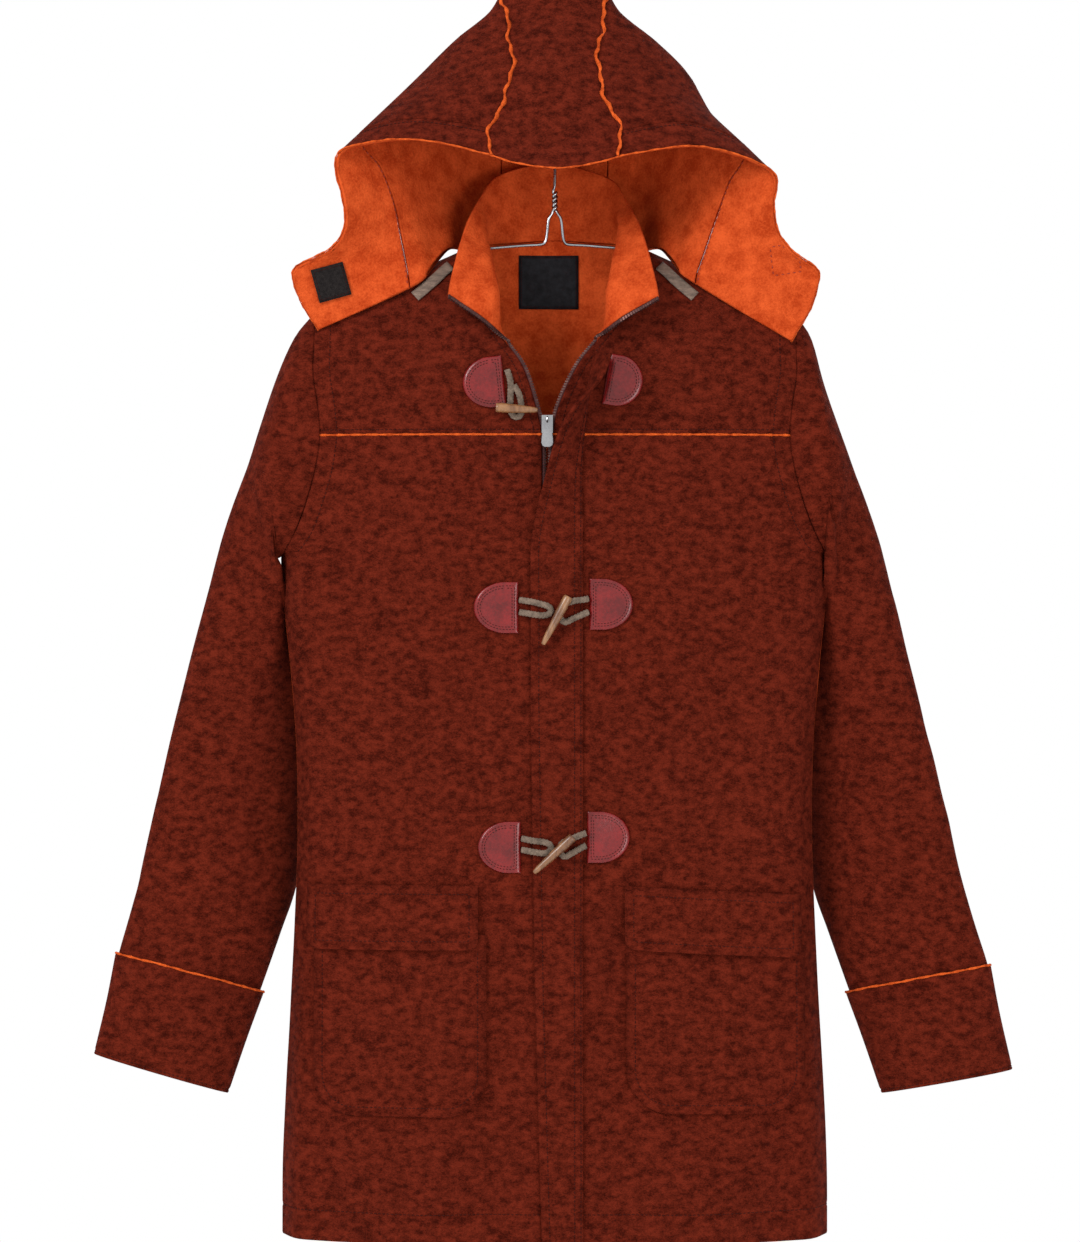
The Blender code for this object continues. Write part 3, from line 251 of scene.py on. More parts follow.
# Leather patches: name, x and z of the middle of the straight edge, side, turn, width
PATCH_HEIGHT = 46.0
PATCH_THICK = 1.8
PATCHES = [
    ("toggle_patch_top_left", -46, -371, -1, 6, 37),
    ("toggle_patch_top_right", 46, -369, 1, -10, 33),
    ("toggle_patch_middle_left", -33, -575, -1, 0, 40),
    ("toggle_patch_middle_right", 31, -572, 1, 0, 39),
    ("toggle_patch_low_left", -31, -790, -1, 0, 38),
    ("toggle_patch_low_right", 29, -781, 1, 0, 38),
]

# Cords: name and run of x, z and height of the cord's middle over the front
CORD_WIDTH = 5.6
CORD_THICK = 2.8
CORDS = [
    ("cord_top_left", [(-43, -361, 2.2), (-40, -372, 2.2), (-40, -385, 2.2), (-40, -397, 2.2),
                       (-37, -403, 2.2), (-32, -403, 2.2), (-30, -397, 2.2), (-32, -384, 2.2),
                       (-37, -375, 2.2)]),
    ("cord_middle_left", [(-31.8, -568, 2.2), (-26, -569, 5.4), (-20, -570, 6.3), (-12, -572, 6.1),
                          (-6, -574, 6.1), (-3.6, -577.5, 6.1), (-6, -581, 6.1), (-12, -582, 6.1),
                          (-20, -581, 6.3), (-26, -580, 5.4), (-31.8, -579, 2.2)]),
    ("cord_middle_right", [(29.8, -567, 3.6), (25, -568, 6.3), (17, -569, 6.3), (9, -572, 6.1),
                           (4.6, -577, 6.1), (4.6, -584, 6.1), (9, -588, 6.1), (16, -585, 6.1),
                           (25, -581, 6.3), (29.8, -579, 3.6)]),
    ("cord_low_left", [(-29.8, -782, 2.2), (-24, -783, 5.4), (-18, -784, 6.3), (-10, -785, 6.1),
                       (-5, -787, 6.1), (-3.6, -790, 6.1), (-5, -793, 6.1), (-10, -795, 6.1),
                       (-18, -794, 6.3), (-24, -793, 5.4), (-29.8, -792, 2.2)]),
    ("cord_low_right", [(27.8, -777, 5.1), (22, -779, 5.6), (15, -782, 5.4), (8, -785, 5.1),
                        (4.6, -789, 5.1), (5, -795, 5.1), (9, -798, 5.1), (15, -795, 5.4),
                        (22, -791, 5.6), (27.8, -788, 5.1)]),
]

# Toggles: name, thick end and thin end as x and z, height of the axis over the front
# The shape of a toggle: share of its length, radius
TOGGLE_SHAPE = [
    (0, 0), (0, 3.2), (0.04, 4.2), (0.3, 4.1), (0.55, 3.6), (0.8, 2.9), (0.97, 2.1), (1, 1.2), (1, 0),
]
TOGGLES = [
    ("toggle_top", (-53, -395.5), (-15.5, -398), 8.4),
    ("toggle_middle", (12, -565), (-11, -608), 12.2),
    ("toggle_low", (16, -780), (-19, -812), 11.4),
]

# Zip: strips beside both edges
STRIP_NEAR = 0.45
STRIP_FAR = 4.0
STRIP_THICK = 1.8
STRIP_SUNK = 0.6

# Small flat pieces: rows run down, each with its x and z limits
LABEL = (-33, 22, -249.5, -299)
LABEL_THICK = 0.8
SQUARE = (-202, -281.5, 15, 15)
SQUARE_THICK = 1.5
SQUARE_CLEAR = 0.9
TAPE_RUN = [(-130, -290), (-121, -282.5), (-112, -274.5), (-105, -267.5), (-98, -261)]
TAPE_WIDE = 10.0
TAPE_THICK = 1.2
TAPE_CLEAR = 0.7

# Hanger: the arm under the shoulder, the run from the neck to the twist, and the stem
WIRE = 1.4
WIRE_CLEAR = 0.5
HOOK_RADIUS = 19.4
HOOK_START = -20.0
HOOK_SWEEP = 230.0
HOOK_STEPS = 11
TWIST_RADIUS = 1.55
TWIST_FOOT = -213.0
TWIST_TALL = 17.0
TWIST_COUNT = 2
TWIST_STEPS = 18
HANGER_ARM = (198, 160, 120, 90, 72)
HANGER_NECK = [
    (58, -247), (30, -244.5), (13, -243.5), (9, -241.5), (7.4, -236), (6.2, -224), (5, -219), (3, -216),
]
HANGER_STEM = [(-1, -192), (0, -186), (0.5, -140), (1, -70), (4, -48), (13, -33)]
CUFF_REST = 0.3
# The front of the sleeve leans on the body under the arm
TUCK, TUCK_Z, TUCK_HALF = 9.0, -545.0, 48.0


@dataclass(frozen=True)
class Crease:
    """A soft trough or ridge of the cloth along a short line on the front or the back.

    x and z of both ends, half width, and depth, which is negative for a trough and is carried out by SWELL.
    """

    # How much deeper every crease is than its row says
    SWELL = 1.8

    x_top: float
    z_top: float
    x_foot: float
    z_foot: float
    half_width: float
    depth: float

    def lift(self, x: np.ndarray, z: np.ndarray) -> np.ndarray:
        """How far the crease carries the cloth out.

        Args:
            x: positions across the coat.
            z: heights.

        Returns:
            The movement along the cloth's normal, in millimetres.
        """
        dx, dz = self.x_foot - self.x_top, self.z_foot - self.z_top
        span = dx * dx + dz * dz
        along = ((x - self.x_top) * dx + (z - self.z_top) * dz) / span
        held = np.clip(along, 0, 1)
        off = np.hypot(x - self.x_top - held * dx, z - self.z_top - held * dz)
        uneven = 0.72 + 0.28 * np.sin(held * 5.1 + self.x_top * 0.13)
        return self.SWELL * self.depth * uneven * np.exp(-((off / self.half_width) ** 2))


class Curves:
    """Smooth curves through table points."""

    @staticmethod
    def catmull(points: Sequence[Point], steps: Sequence[int]) -> np.ndarray:
        """Smooth run through the points.

        Args:
            points: the points to pass.
            steps: number of steps in each span.

        Returns:
            The points of the run, ends included.
        """
        pts = np.array(points, dtype=float)
        p = np.concatenate([[2 * pts[0] - pts[1]], pts, [2 * pts[-1] - pts[-2]]])
        run = []
        for i, count in enumerate(steps):
            a, b, c, d = p[i : i + 4]
            for k in range(count):
                t = k / count
                run.append(
                    0.5 * (2 * b + (c - a) * t + (2 * a - 5 * b + 4 * c - d) * t**2
                           + (3 * b - a - 3 * c + d) * t**3)
                )
        run.append(pts[-1])
        return np.array(run)

    @staticmethod
    def hermite(table: Sequence[Point], at: float, column: int) -> float:
        """Smooth value at one station of a table whose first column falls.

        Args:
            table: rows of numbers.
            at: the station.
            column: which column to read.

        Returns:
            The value there.
        """
        keys = [row[0] for row in table]
        values = [row[column] for row in table]
        if at >= keys[0]:
            return values[0]
        if at <= keys[-1]:
            return values[-1]
        i = next(k for k in range(len(keys) - 1) if keys[k + 1] <= at)
        span = keys[i + 1] - keys[i]
        t = (at - keys[i]) / span
        slopes = []
        for k in (i, i + 1):
            if k in (0, len(keys) - 1):
                slopes.append(0.0)
            else:
                slopes.append((values[k + 1] - values[k - 1]) / (keys[k + 1] - keys[k - 1]) * span)
        ends = (2 * t**3 - 3 * t**2 + 1) * values[i] + (3 * t**2 - 2 * t**3) * values[i + 1]
        return ends + (t**3 - 2 * t**2 + t) * slopes[0] + (t**3 - t**2) * slopes[1]

    @staticmethod
    def lengths(points: np.ndarray) -> np.ndarray:
        """Length along a polyline at each of its points.

        Args:
            points: the polyline.

        Returns:
            Running length, starting at 0.
        """
        steps = np.linalg.norm(np.diff(points, axis=0), axis=1)
        return np.concatenate([[0.0], np.cumsum(steps)])

    @classmethod
    def flat_size(cls, grid: np.ndarray) -> tuple[float, float, float]:
        """Size of a sheet laid flat, in metres.

        Args:
            grid: its rows of points.

        Returns:
            Its longest row, its longest column and its area.
        """
        width = max(cls.lengths(row)[-1] for row in grid) * MM
        length = max(cls.lengths(grid[:, j])[-1] for j in range(grid.shape[1])) * MM
        a = grid[1:, 1:] - grid[:-1, :-1]
        b = grid[1:, :-1] - grid[:-1, 1:]
        area = float(np.linalg.norm(np.cross(a, b), axis=-1).sum()) / 2 * MM * MM
        return width, length, min(area, width * length)

    @classmethod
    def at_lengths(cls, points: np.ndarray, where: np.ndarray) -> np.ndarray:
        """Points of a polyline at the given lengths along it.

        Args:
            points: the polyline.
            where: lengths from its start.

        Returns:
            One point for each length.
        """
        run = cls.lengths(points)
        return np.stack([np.interp(where, run, points[:, k]) for k in range(points.shape[1])], axis=1)

    @classmethod
    def even(cls, points: np.ndarray, step: float) -> np.ndarray:
        """The polyline again, in even steps of about the given length.

        Args:
            points: the polyline.
            step: the wanted step.

        Returns:
            Its evenly spaced points.
        """
        total = cls.lengths(points)[-1]
        count = max(int(round(total / step)), 2)
        return cls.at_lengths(points, np.linspace(0, total, count + 1))


class BodyForm:
    """The form of the coat's body: front and back surfaces, armholes and neck."""

    @staticmethod
    def half_width(z: float) -> float:
        """Half width of the body at a height.

        Args:
            z: the height.

        Returns:
            Half the width.
        """
        return Curves.hermite(TORSO, z, 1)

    @staticmethod
    def ridge_z(x: float) -> float:
        """Height of the shoulder seam over a distance from the middle.

        Args:
            x: distance from the middle.

        Returns:
            The height.
        """
        slope = (RIDGE_Z[1] - RIDGE_Z[0]) / (RIDGE_X[1] - RIDGE_X[0])
        return RIDGE_Z[0] + (abs(x) - RIDGE_X[0]) * slope

    @staticmethod
    def fold_depth(folds: Sequence[Point], x: float, z: float) -> float:
        """How far the large folds carry the cloth in.

        Args:
            folds: the table of folds.
            x: position across.
            z: height.

        Returns:
            The depth.
        """
        total = 0.0
        for x_top, x_foot, z_top, z_foot, width, depth in folds:
            t = (z_top - z) / (z_top - z_foot)
            if t <= 0:
                continue
            t = min(t, 1.0)
            centre = x_top + (x_foot - x_top) * t
            fade = sin(min(t * 1.6, 1.0) * pi / 2)
            if z_foot > TORSO[-1][0]:
                fade = sin(t * pi)
            total += depth * fade * np.exp(-(((x - centre) / width) ** 2))
        return total

    @classmethod
    def depth(cls, x: float, z: float, column: int) -> float:
        """Distance of the cloth from the middle plane.

        Args:
            x: position across.
            z: height.
            column: 2 for the front, 3 for the back.

        Returns:
            The distance.
        """
        power = Curves.hermite(TORSO, z, 4)
        across = min(abs(x) / cls.half_width(z), 1.0)
        depth = Curves.hermite(TORSO, z, column) * (1 - across**power) ** (1 / power)
        up = min(max((z - ARM_MID) / (cls.ridge_z(x) - ARM_MID), 0.0), 1.0)
        return depth * (1 - up**SHOULDER_POWER) ** (1 / SHOULDER_POWER)

    @classmethod
    def edge_fade(cls, x: float, z: float) -> float:
        """Brings the folds out to nothing at the side seams.

        Args:
            x: position across.
            z: height.

        Returns:
            1 in the middle, 0 at the side.
        """
        return max(0.0, 1 - (abs(x) / cls.half_width(z)) ** 6)

    @classmethod
    def front(cls, x: float, z: float) -> tuple[float, float, float]:
        """Point of the front.

        Args:
            x: position across.
            z: height.

        Returns:
            The point.
        """
        fold = cls.fold_depth(FRONT_FOLDS, x, z) * cls.edge_fade(x, z)
        return (x, fold - cls.depth(x, z, 2), z)

    @classmethod
    def back(cls, x: float, z: float) -> tuple[float, float, float]:
        """Point of the back.

        Args:
            x: position across.
            z: height.

        Returns:
            The point.
        """
        depth = cls.depth(x, z, 3)
        if abs(x) < RIDGE_X[0] and z > ARM_MID:
            edge = cls.neck_point(x)
            up = min(max((z - ARM_MID) / (edge[2] - ARM_MID), 0.0), 1.0)
            share = (1 - up**SHOULDER_POWER) ** (1 / SHOULDER_POWER)
            depth = edge[1] + (cls.depth(x, ARM_MID, 3) - edge[1]) * share
        return (x, depth - cls.fold_depth(BACK_FOLDS, x, z) * cls.edge_fade(x, z), z)

    @staticmethod
    def neck_point(x: float) -> Point:
        """Point of the back neck seam.

        Args:
            x: position across.

        Returns:
            The point.
        """
        x = -abs(x)
        for a, b in zip(BACK_NECK, BACK_NECK[1:]):
            if a[0] <= x <= b[0]:
                t = (x - a[0]) / (b[0] - a[0])
                return tuple(a[i] + (b[i] - a[i]) * t for i in range(3))
        return BACK_NECK[0]

    @classmethod
    def armhole(cls, side: int, angle: float, front: bool) -> Point:
        """Point of the armhole seam.

        Args:
            side: -1 or 1.
            angle: degrees from the shoulder down to the underarm.
            front: True on the front.

        Returns:
            The point.
        """
        a = radians(angle)
        z = ARM_MID + ARM_HALF * cos(a)
        bite = BITE_FRONT if front else BITE_BACK
        x = cls.half_width(z) - bite * max(sin(a), 0.0) ** 1.5
        if angle in (0, 180):
            return (side * x, 0.0, z)
        return cls.front(side * x, z) if front else cls.back(side * x, z)

    @staticmethod
    def row(start: Point, end: Point, place: Callable[[float, float], Point]) -> Row:
        """Points from a start to an end, set on the body.

        Args:
            start: x and z of the start.
            end: the end point.
            place: gives the point of the body at x and z.

        Returns:
            The row.
        """
        points = []
        for share in COLUMN_SHARES[:-1]:
            x = start[0] + (end[0] - start[0]) * share
            points.append(place(x, start[1] + (end[2] - start[1]) * share))
        return points + [end]

    @classmethod
    def ridge_row(cls, side: int) -> Row:
        """The shoulder seam from the neck out.

        Args:
            side: -1 or 1.

        Returns:
            Its points.
        """
        near, far = RIDGE_X
        run = [near + (far - near) * share for share in COLUMN_SHARES]
        return [(side * x, 0.0, cls.ridge_z(x)) for x in run]

    @classmethod
    def front_panel(cls, side: int) -> Rows:
        """Front below the yoke seam, from the zip edge to the side.

        Args:
            side: -1 or 1.

        Returns:
            Its rows.
        """
        inner_x = NECK_LEFT[-1][0] if side < 0 else NECK_RIGHT[-1][0]
        ends = [cls.armhole(side, a, True) for a in LOOP_ANGLES if a >= 90]
        ends += [(side * cls.half_width(z), 0.0, z) for z in BODY_LEVELS]
        return [cls.row((inner_x, end[2]), end, cls.front) for end in ends]

    @classmethod
    def front_yoke(cls, side: int) -> Rows:
        """Front yoke, from the shoulder seam down.

        Args:
            side: -1 or 1.

        Returns:
            Its rows.
        """
        neck = NECK_LEFT if side < 0 else NECK_RIGHT
        rows = []
        for start, angle in zip(neck, [a for a in LOOP_ANGLES if a <= 90]):
            end = cls.armhole(side, angle, True)
            rows.append(cls.ridge_row(side) if angle == 0 else cls.row(start, end, cls.front))
        return rows

    @classmethod
    def back_yoke(cls) -> Rows:
        """Back yoke, its top row along both shoulder seams and round the back neck.

        Returns:
            Its rows.
        """
        left = [tuple(p) for p in BACK_NECK]
        neck = left + [(-x, y, z) for x, y, z in reversed(left[:-1])]
        top = cls.ridge_row(-1)[::-1][:-1] + neck + cls.ridge_row(1)[1:]
        outer = cls.armhole(1, 90, False)[0]
        top_outer = top[-1][0]
        rows = []
        for angle in [a for a in LOOP_ANGLES if a <= 90]:
            share = cos(radians(angle))
            loop_x = cls.armhole(1, angle, False)[0]
            row = []
            for x_top, _, z_top in top:
                spread = x_top / top_outer
                x_low = outer * spread
                mend = (loop_x - (outer + (top_outer - outer) * share)) * spread * abs(spread)
                x = x_low + (x_top - x_low) * share + mend
                row.append(cls.back(x, ARM_MID + (z_top - ARM_MID) * share))
            row[0] = cls.armhole(-1, angle, False)
            row[-1] = cls.armhole(1, angle, False)
            rows.append(top if angle == 0 else row)
        return rows

    @classmethod
    def back_panel(cls) -> Rows:
        """Back below its yoke.

        Returns:
            Its rows.
        """
        low = cls.back_yoke()[-1]
        shares = [x / low[-1][0] for x, _, _ in low]
        ends = [cls.armhole(1, a, False) for a in LOOP_ANGLES if a >= 90]
        ends += [(cls.half_width(z), 0.0, z) for z in BODY_LEVELS]
        rows = []
        for k, (x_end, y_end, z) in enumerate(ends):
            row = [cls.back(x_end * share, z) for share in shares]
            row[0], row[-1] = (-x_end, y_end, z), (x_end, y_end, z)
            rows.append(low if k == 0 else row)
        return rows


class SleeveForm:
    """The form of a sleeve: rings from the armhole down to the hand."""

    @staticmethod
    def clear_of_body(point: np.ndarray) -> np.ndarray:
        """Moves a point out of the body's outline.

        Args:
            point: the point.

        Returns:
            The point, moved where it lay inside.
        """
        x, y, z = point
        if z > ARM_MID:
            return point
        width = BodyForm.half_width(z) + SLEEVE_BODY_GAP
        depth = Curves.hermite(TORSO, z, 3 if y > 0 else 2) + SLEEVE_BODY_GAP
        power = Curves.hermite(TORSO, z, 4)
        across, deep = abs(x) / width, abs(y) / depth
        if across**power + deep**power >= 1:
            return point
        if y > 0:
            return np.array([x, depth * (1 - across**power) ** (1 / power), z])
        return np.array([np.sign(x) * width * (1 - deep**power) ** (1 / power), y, z])

    @classmethod
    def rings(cls, side: int) -> Rows:
        """Rings, each from the underarm round the back to the underarm.

        Args:
            side: -1 or 1.

        Returns:
            The rings.
        """
        turns = [-a for a in reversed(LOOP_ANGLES)] + LOOP_ANGLES[1:]
        table = np.array(SLEEVE, dtype=float)
        heights, extra = zip(*LEFT_WIDER)
        table[:, 0] -= side * np.interp(table[:, 2], heights, extra)
        if side > 0:
            reach = (RIGHT_DROP_FROM - table[:, 2]) / (RIGHT_DROP_FROM - table[-1, 2])
            table[:, 2] -= RIGHT_DROP * np.clip(reach, 0, 1)
        outer = table[:, 0:3] * (side, 1, 1)
        inner = table[:, 3:6] * (side, 1, 1)
        middle = (outer + inner) / 2
        rings = []
        first_rest = 0.0
        for i, row in enumerate(table):
            before, after = middle[max(i - 1, 0)], middle[min(i + 1, len(table) - 1)]
            along = (after - before) / np.linalg.norm(after - before)
            half = (outer[i] - inner[i]) / 2
            if i < CAP_RINGS:
                deep = half * half[1] / (half @ half) - np.array([0.0, 1.0, 0.0])
            else:
                deep = np.cross(along, half)
            deep = deep / np.linalg.norm(deep) * row[6]
            if deep[1] > 0:
                deep = -deep
            ring = np.array([
                middle[i] + half * cos(radians(a)) + deep * sin(radians(a)) for a in turns
            ])
            if i == 0:
                loop = np.array([BodyForm.armhole(side, abs(a), a > 0) for a in turns])
                first_rest = loop - ring
                ring = loop
            else:
                ring = ring + first_rest * max(0.0, 1 - i / 4) ** 1.5
                near = np.exp(-(((ring[:, 2] - TUCK_Z) / TUCK_HALF) ** 2)) * np.clip(-ring[:, 1] / 10, 0, 1)
                ring[:, 0] -= side * TUCK * near
                ring = np.array([cls.clear_of_body(p) for p in ring])
            rings.append(list(ring))
        return rings


class CollarForm:
    """The form of the collar."""

    @staticmethod
    def rows() -> Rows:
        """Rows from the neck seam over the roll to the collar's edge.

        Returns:
            The rows, each from the left front edge round the back to the right one.
        """
        stations = []
        for base, roll, top in COLLAR_LEFT:
            if base[1] is None:
                base = BodyForm.front(base[0], base[2])
            stations.append([base, roll, top])
        right = []
        right_neck = NECK_RIGHT[6::-1]
        for k, (base, roll, top) in enumerate(stations[:-1]):
            base = BodyForm.front(*right_neck[k]) if k < 6 else (-base[0], base[1], base[2])
            roll = (-roll[0] - 4, roll[1], roll[2] + 1)
            right.append([base, roll, (-top[0] - 3, top[1], top[2] - 2)])
        columns = [Curves.catmull(s, [2, COLLAR_ROWS - 2]) for s in stations + right[::-1]]
        return [[column[i] for column in columns] for i in range(COLLAR_ROWS + 1)]


class HoodForm:
    """The form of the hood: two sides and the strip between them."""

    def __init__(self) -> None:
        self.grids = {side: self.side_grid(side) for side in (-1, 1)}

    @staticmethod
    def clear_of_front(point: np.ndarray) -> np.ndarray:
        """Moves a point forward of the front where it hangs over the shoulder.

        Args:
            point: the point.

        Returns:
            The point, moved where it lay behind the front.
        """
        x, y, z = point
        if y > 0 or z > BodyForm.ridge_z(x) - 0.5:
            return point
        return np.array([x, min(y, BodyForm.front(x, z)[1] - HOOD_REST), z])

    @classmethod
    def side_grid(cls, side: int) -> Rows:
        """One side of the hood.

        Args:
            side: -1 or 1.

        Returns:
            Rows from rim to back, with columns from the gusset to the neck.
        """
        table = [[tuple(p) for p in row] for row in HOOD_LEFT]
        if side > 0:
            table = [[(-x, y, z) for x, y, z in row] for row in table]
            for index, row in HOOD_RIGHT_CHANGES.items():
                table[index] = row
        rows = [Curves.catmull(row, HOOD_COLUMN_STEPS) for row in table]
        columns = [Curves.catmull([r[j] for r in rows], HOOD_ROW_STEPS) for j in range(len(rows[0]))]
        count = len(columns[0])
        return [[cls.clear_of_front(column[i]) for column in columns] for i in range(count)]

    def gusset(self) -> Rows:
        """The strip between both sides, from the rim over the crown to the neck.

        Returns:
            Its rows.
        """
        top = Curves.catmull([(0, y, z) for y, z in GUSSET_CENTRE], HOOD_ROW_STEPS)
        back = [(0, *GUSSET_CENTRE[-1])] + [(0, y, z) for y, z in GUSSET_BACK_CENTRE]
        centre = list(top) + list(Curves.catmull(back, HOOD_COLUMN_STEPS)[1:])
        seams = []
        for grid in (self.grids[-1], self.grids[1]):
            seams.append([row[0] for row in grid] + list(grid[-1][1:]))
        rows = []
        for a, c, b in zip(seams[0], centre, seams[1]):
            row = []
            for k in range(GUSSET_COLUMNS + 1):
                u = 2 * k / GUSSET_COLUMNS - 1
                edge = a if u < 0 else b
                row.append(np.array([edge[0] * abs(u), *(c[1:] + (edge[1:] - c[1:]) * u * u)]))
            rows.append(row)
        return rows


class Finish(Enum):
    """The finishes of the coat and its hardware."""

    FLEECE = "fleece"
    LEATHER = "leather"
    CORD = "cord"
    HORN = "horn"
    CHROME = "chrome"
    TAPE = "tape"


@dataclass(frozen=True)
class Look:
    """Sizes and colours of one procedural material.

    Colours are linear. grain is the fine pattern's scale in waves a metre and patch that of
    the broad one; bump is the depth of the fine relief in metres.
    """

    name: str
    dark: tuple[float, float, float]
    light: tuple[float, float, float]
    roughness: float
    grain: float
    patch: float
    bump: float
    bump_strength: float = 0.6
    metallic: float = 0.0
    sheen: float = 0.0
    coat: float = 0.0
    specular: float = 0.5
    stretch: tuple[float, float, float] = (1.0, 1.0, 1.0)

    def build(self) -> bpy.types.Material:
        """Makes the material.

        Returns:
            The new material.
        """
        made = bpy.data.materials.new(self.name)
        made.use_nodes = True
        tree = made.node_tree
        nodes, links = tree.nodes, tree.links
        shader = nodes["Principled BSDF"]
        shader.inputs["Roughness"].default_value = self.roughness
        shader.inputs["Metallic"].default_value = self.metallic
        shader.inputs["Specular IOR Level"].default_value = self.specular
        shader.inputs["Sheen Weight"].default_value = self.sheen
        shader.inputs["Sheen Roughness"].default_value = 0.45
        shader.inputs["Coat Weight"].default_value = self.coat
        shader.inputs["Coat Roughness"].default_value = 0.18
        place = nodes.new("ShaderNodeTexCoord")
        mapping = nodes.new("ShaderNodeMapping")
        mapping.inputs["Scale"].default_value = self.stretch
        links.new(place.outputs["Object"], mapping.inputs["Vector"])
        fine = self._noise(nodes, links, mapping, self.grain, 4.0)
        broad = self._noise(nodes, links, mapping, self.patch, 2.0)
        mixed = nodes.new("ShaderNodeMath")
        mixed.operation = "MULTIPLY_ADD"
        mixed.inputs[1].default_value = 0.55
        links.new(broad.outputs["Fac"], mixed.inputs[0])
        half = nodes.new("ShaderNodeMath")
        half.operation = "MULTIPLY"
        half.inputs[1].default_value = 0.45
        links.new(fine.outputs["Fac"], half.inputs[0])
        links.new(half.outputs[0], mixed.inputs[2])
        ramp = nodes.new("ShaderNodeValToRGB")
        ramp.color_ramp.elements[0].position = 0.38
        ramp.color_ramp.elements[0].color = (*self.dark, 1.0)
        ramp.color_ramp.elements[1].position = 0.62
        ramp.color_ramp.elements[1].color = (*self.light, 1.0)
        links.new(mixed.outputs[0], ramp.inputs["Fac"])
        links.new(ramp.outputs["Color"], shader.inputs["Base Color"])
        relief = nodes.new("ShaderNodeBump")
        relief.inputs["Strength"].default_value = self.bump_strength
        relief.inputs["Distance"].default_value = self.bump
        links.new(fine.outputs["Fac"], relief.inputs["Height"])
        links.new(relief.outputs["Normal"], shader.inputs["Normal"])
        return made

    @staticmethod
    def _noise(nodes, links, mapping, scale: float, detail: float) -> bpy.types.Node:
        """Adds one noise texture.

        Args:
            nodes: the tree's nodes.
            links: the tree's links.
            mapping: the node that gives the place.
            scale: waves a metre.
            detail: octaves.

        Returns:
            The noise node.
        """
        noise = nodes.new("ShaderNodeTexNoise")
        noise.inputs["Scale"].default_value = scale
        noise.inputs["Detail"].default_value = detail
        noise.inputs["Roughness"].default_value = 0.6
        links.new(mapping.outputs["Vector"], noise.inputs["Vector"])
        return noise


class Wardrobe:
    """All materials, made once."""

    LOOKS = {
        "outside": Look("fleece_outside", (0.034, 0.0032, 0.0012), (0.128, 0.0145, 0.006), 0.95,
                        620.0, 110.0, 0.001, 0.8, specular=0.04, stretch=(1.0, 1.0, 1.5)),
        "inside": Look("fleece_inside", (0.36, 0.036, 0.006), (0.6, 0.085, 0.018), 0.95,
                       520.0, 60.0, 0.001, 0.8, specular=0.04),
        "raw_edge": Look("fleece_raw_edge", (0.3, 0.035, 0.006), (0.72, 0.115, 0.02), 0.95,
                         1400.0, 160.0, 0.0006, 0.9, specular=0.04),
        "thread": Look("thread_brown", (0.022, 0.003, 0.002), (0.05, 0.006, 0.003), 0.7,
                       2500.0, 300.0, 0.0001, 0.4, specular=0.1),
        "thread_inside": Look("thread_red", (0.2, 0.015, 0.008), (0.3, 0.03, 0.012), 0.7,
                              2500.0, 300.0, 0.0001, 0.4),
        "leather": Look("leather_red", (0.1, 0.004, 0.004), (0.2, 0.008, 0.008), 0.24,
                        420.0, 60.0, 0.0004, 0.35, specular=0.45),
        "cord": Look("cord_braid", (0.07, 0.048, 0.033), (0.2, 0.14, 0.1), 0.85,
                     1500.0, 200.0, 0.0006, 0.9),
        "tape_ribbon": Look("tape_ribbon", (0.09, 0.06, 0.045), (0.22, 0.15, 0.11), 0.85,
                            1500.0, 120.0, 0.0004, 0.7, stretch=(1.0, 1.0, 3.0)),
        "horn": Look("toggle_horn", (0.09, 0.03, 0.01), (0.3, 0.14, 0.055), 0.36,
                     260.0, 120.0, 0.0002, 0.3, coat=0.25, stretch=(1.0, 1.0, 0.25)),
        "zip_tape": Look("zip_tape", (0.035, 0.005, 0.005), (0.08, 0.012, 0.01), 0.8,
                         1800.0, 150.0, 0.0003, 0.6),
        "teeth": Look("zip_teeth", (0.05, 0.022, 0.02), (0.14, 0.08, 0.07), 0.4,
                      900.0, 150.0, 0.0001, 0.2, metallic=1.0),
        "chrome": Look("polished_chrome", (0.3, 0.3, 0.31), (0.42, 0.42, 0.43), 0.2,
                       600.0, 40.0, 0.00003, 0.1, metallic=1.0),
        "label": Look("label_black", (0.004, 0.004, 0.005), (0.014, 0.014, 0.017), 0.7,
                      2200.0, 180.0, 0.0002, 0.5, specular=0.15),
        "hook_loop": Look("hook_and_loop", (0.01, 0.008, 0.008), (0.022, 0.018, 0.017), 0.9,
                          1300.0, 300.0, 0.0015, 1.0, specular=0.1),
    }

    def __init__(self) -> None:
        self.made = {key: look.build() for key, look in self.LOOKS.items()}

    def __getitem__(self, key: str) -> bpy.types.Material:
        return self.made[key]


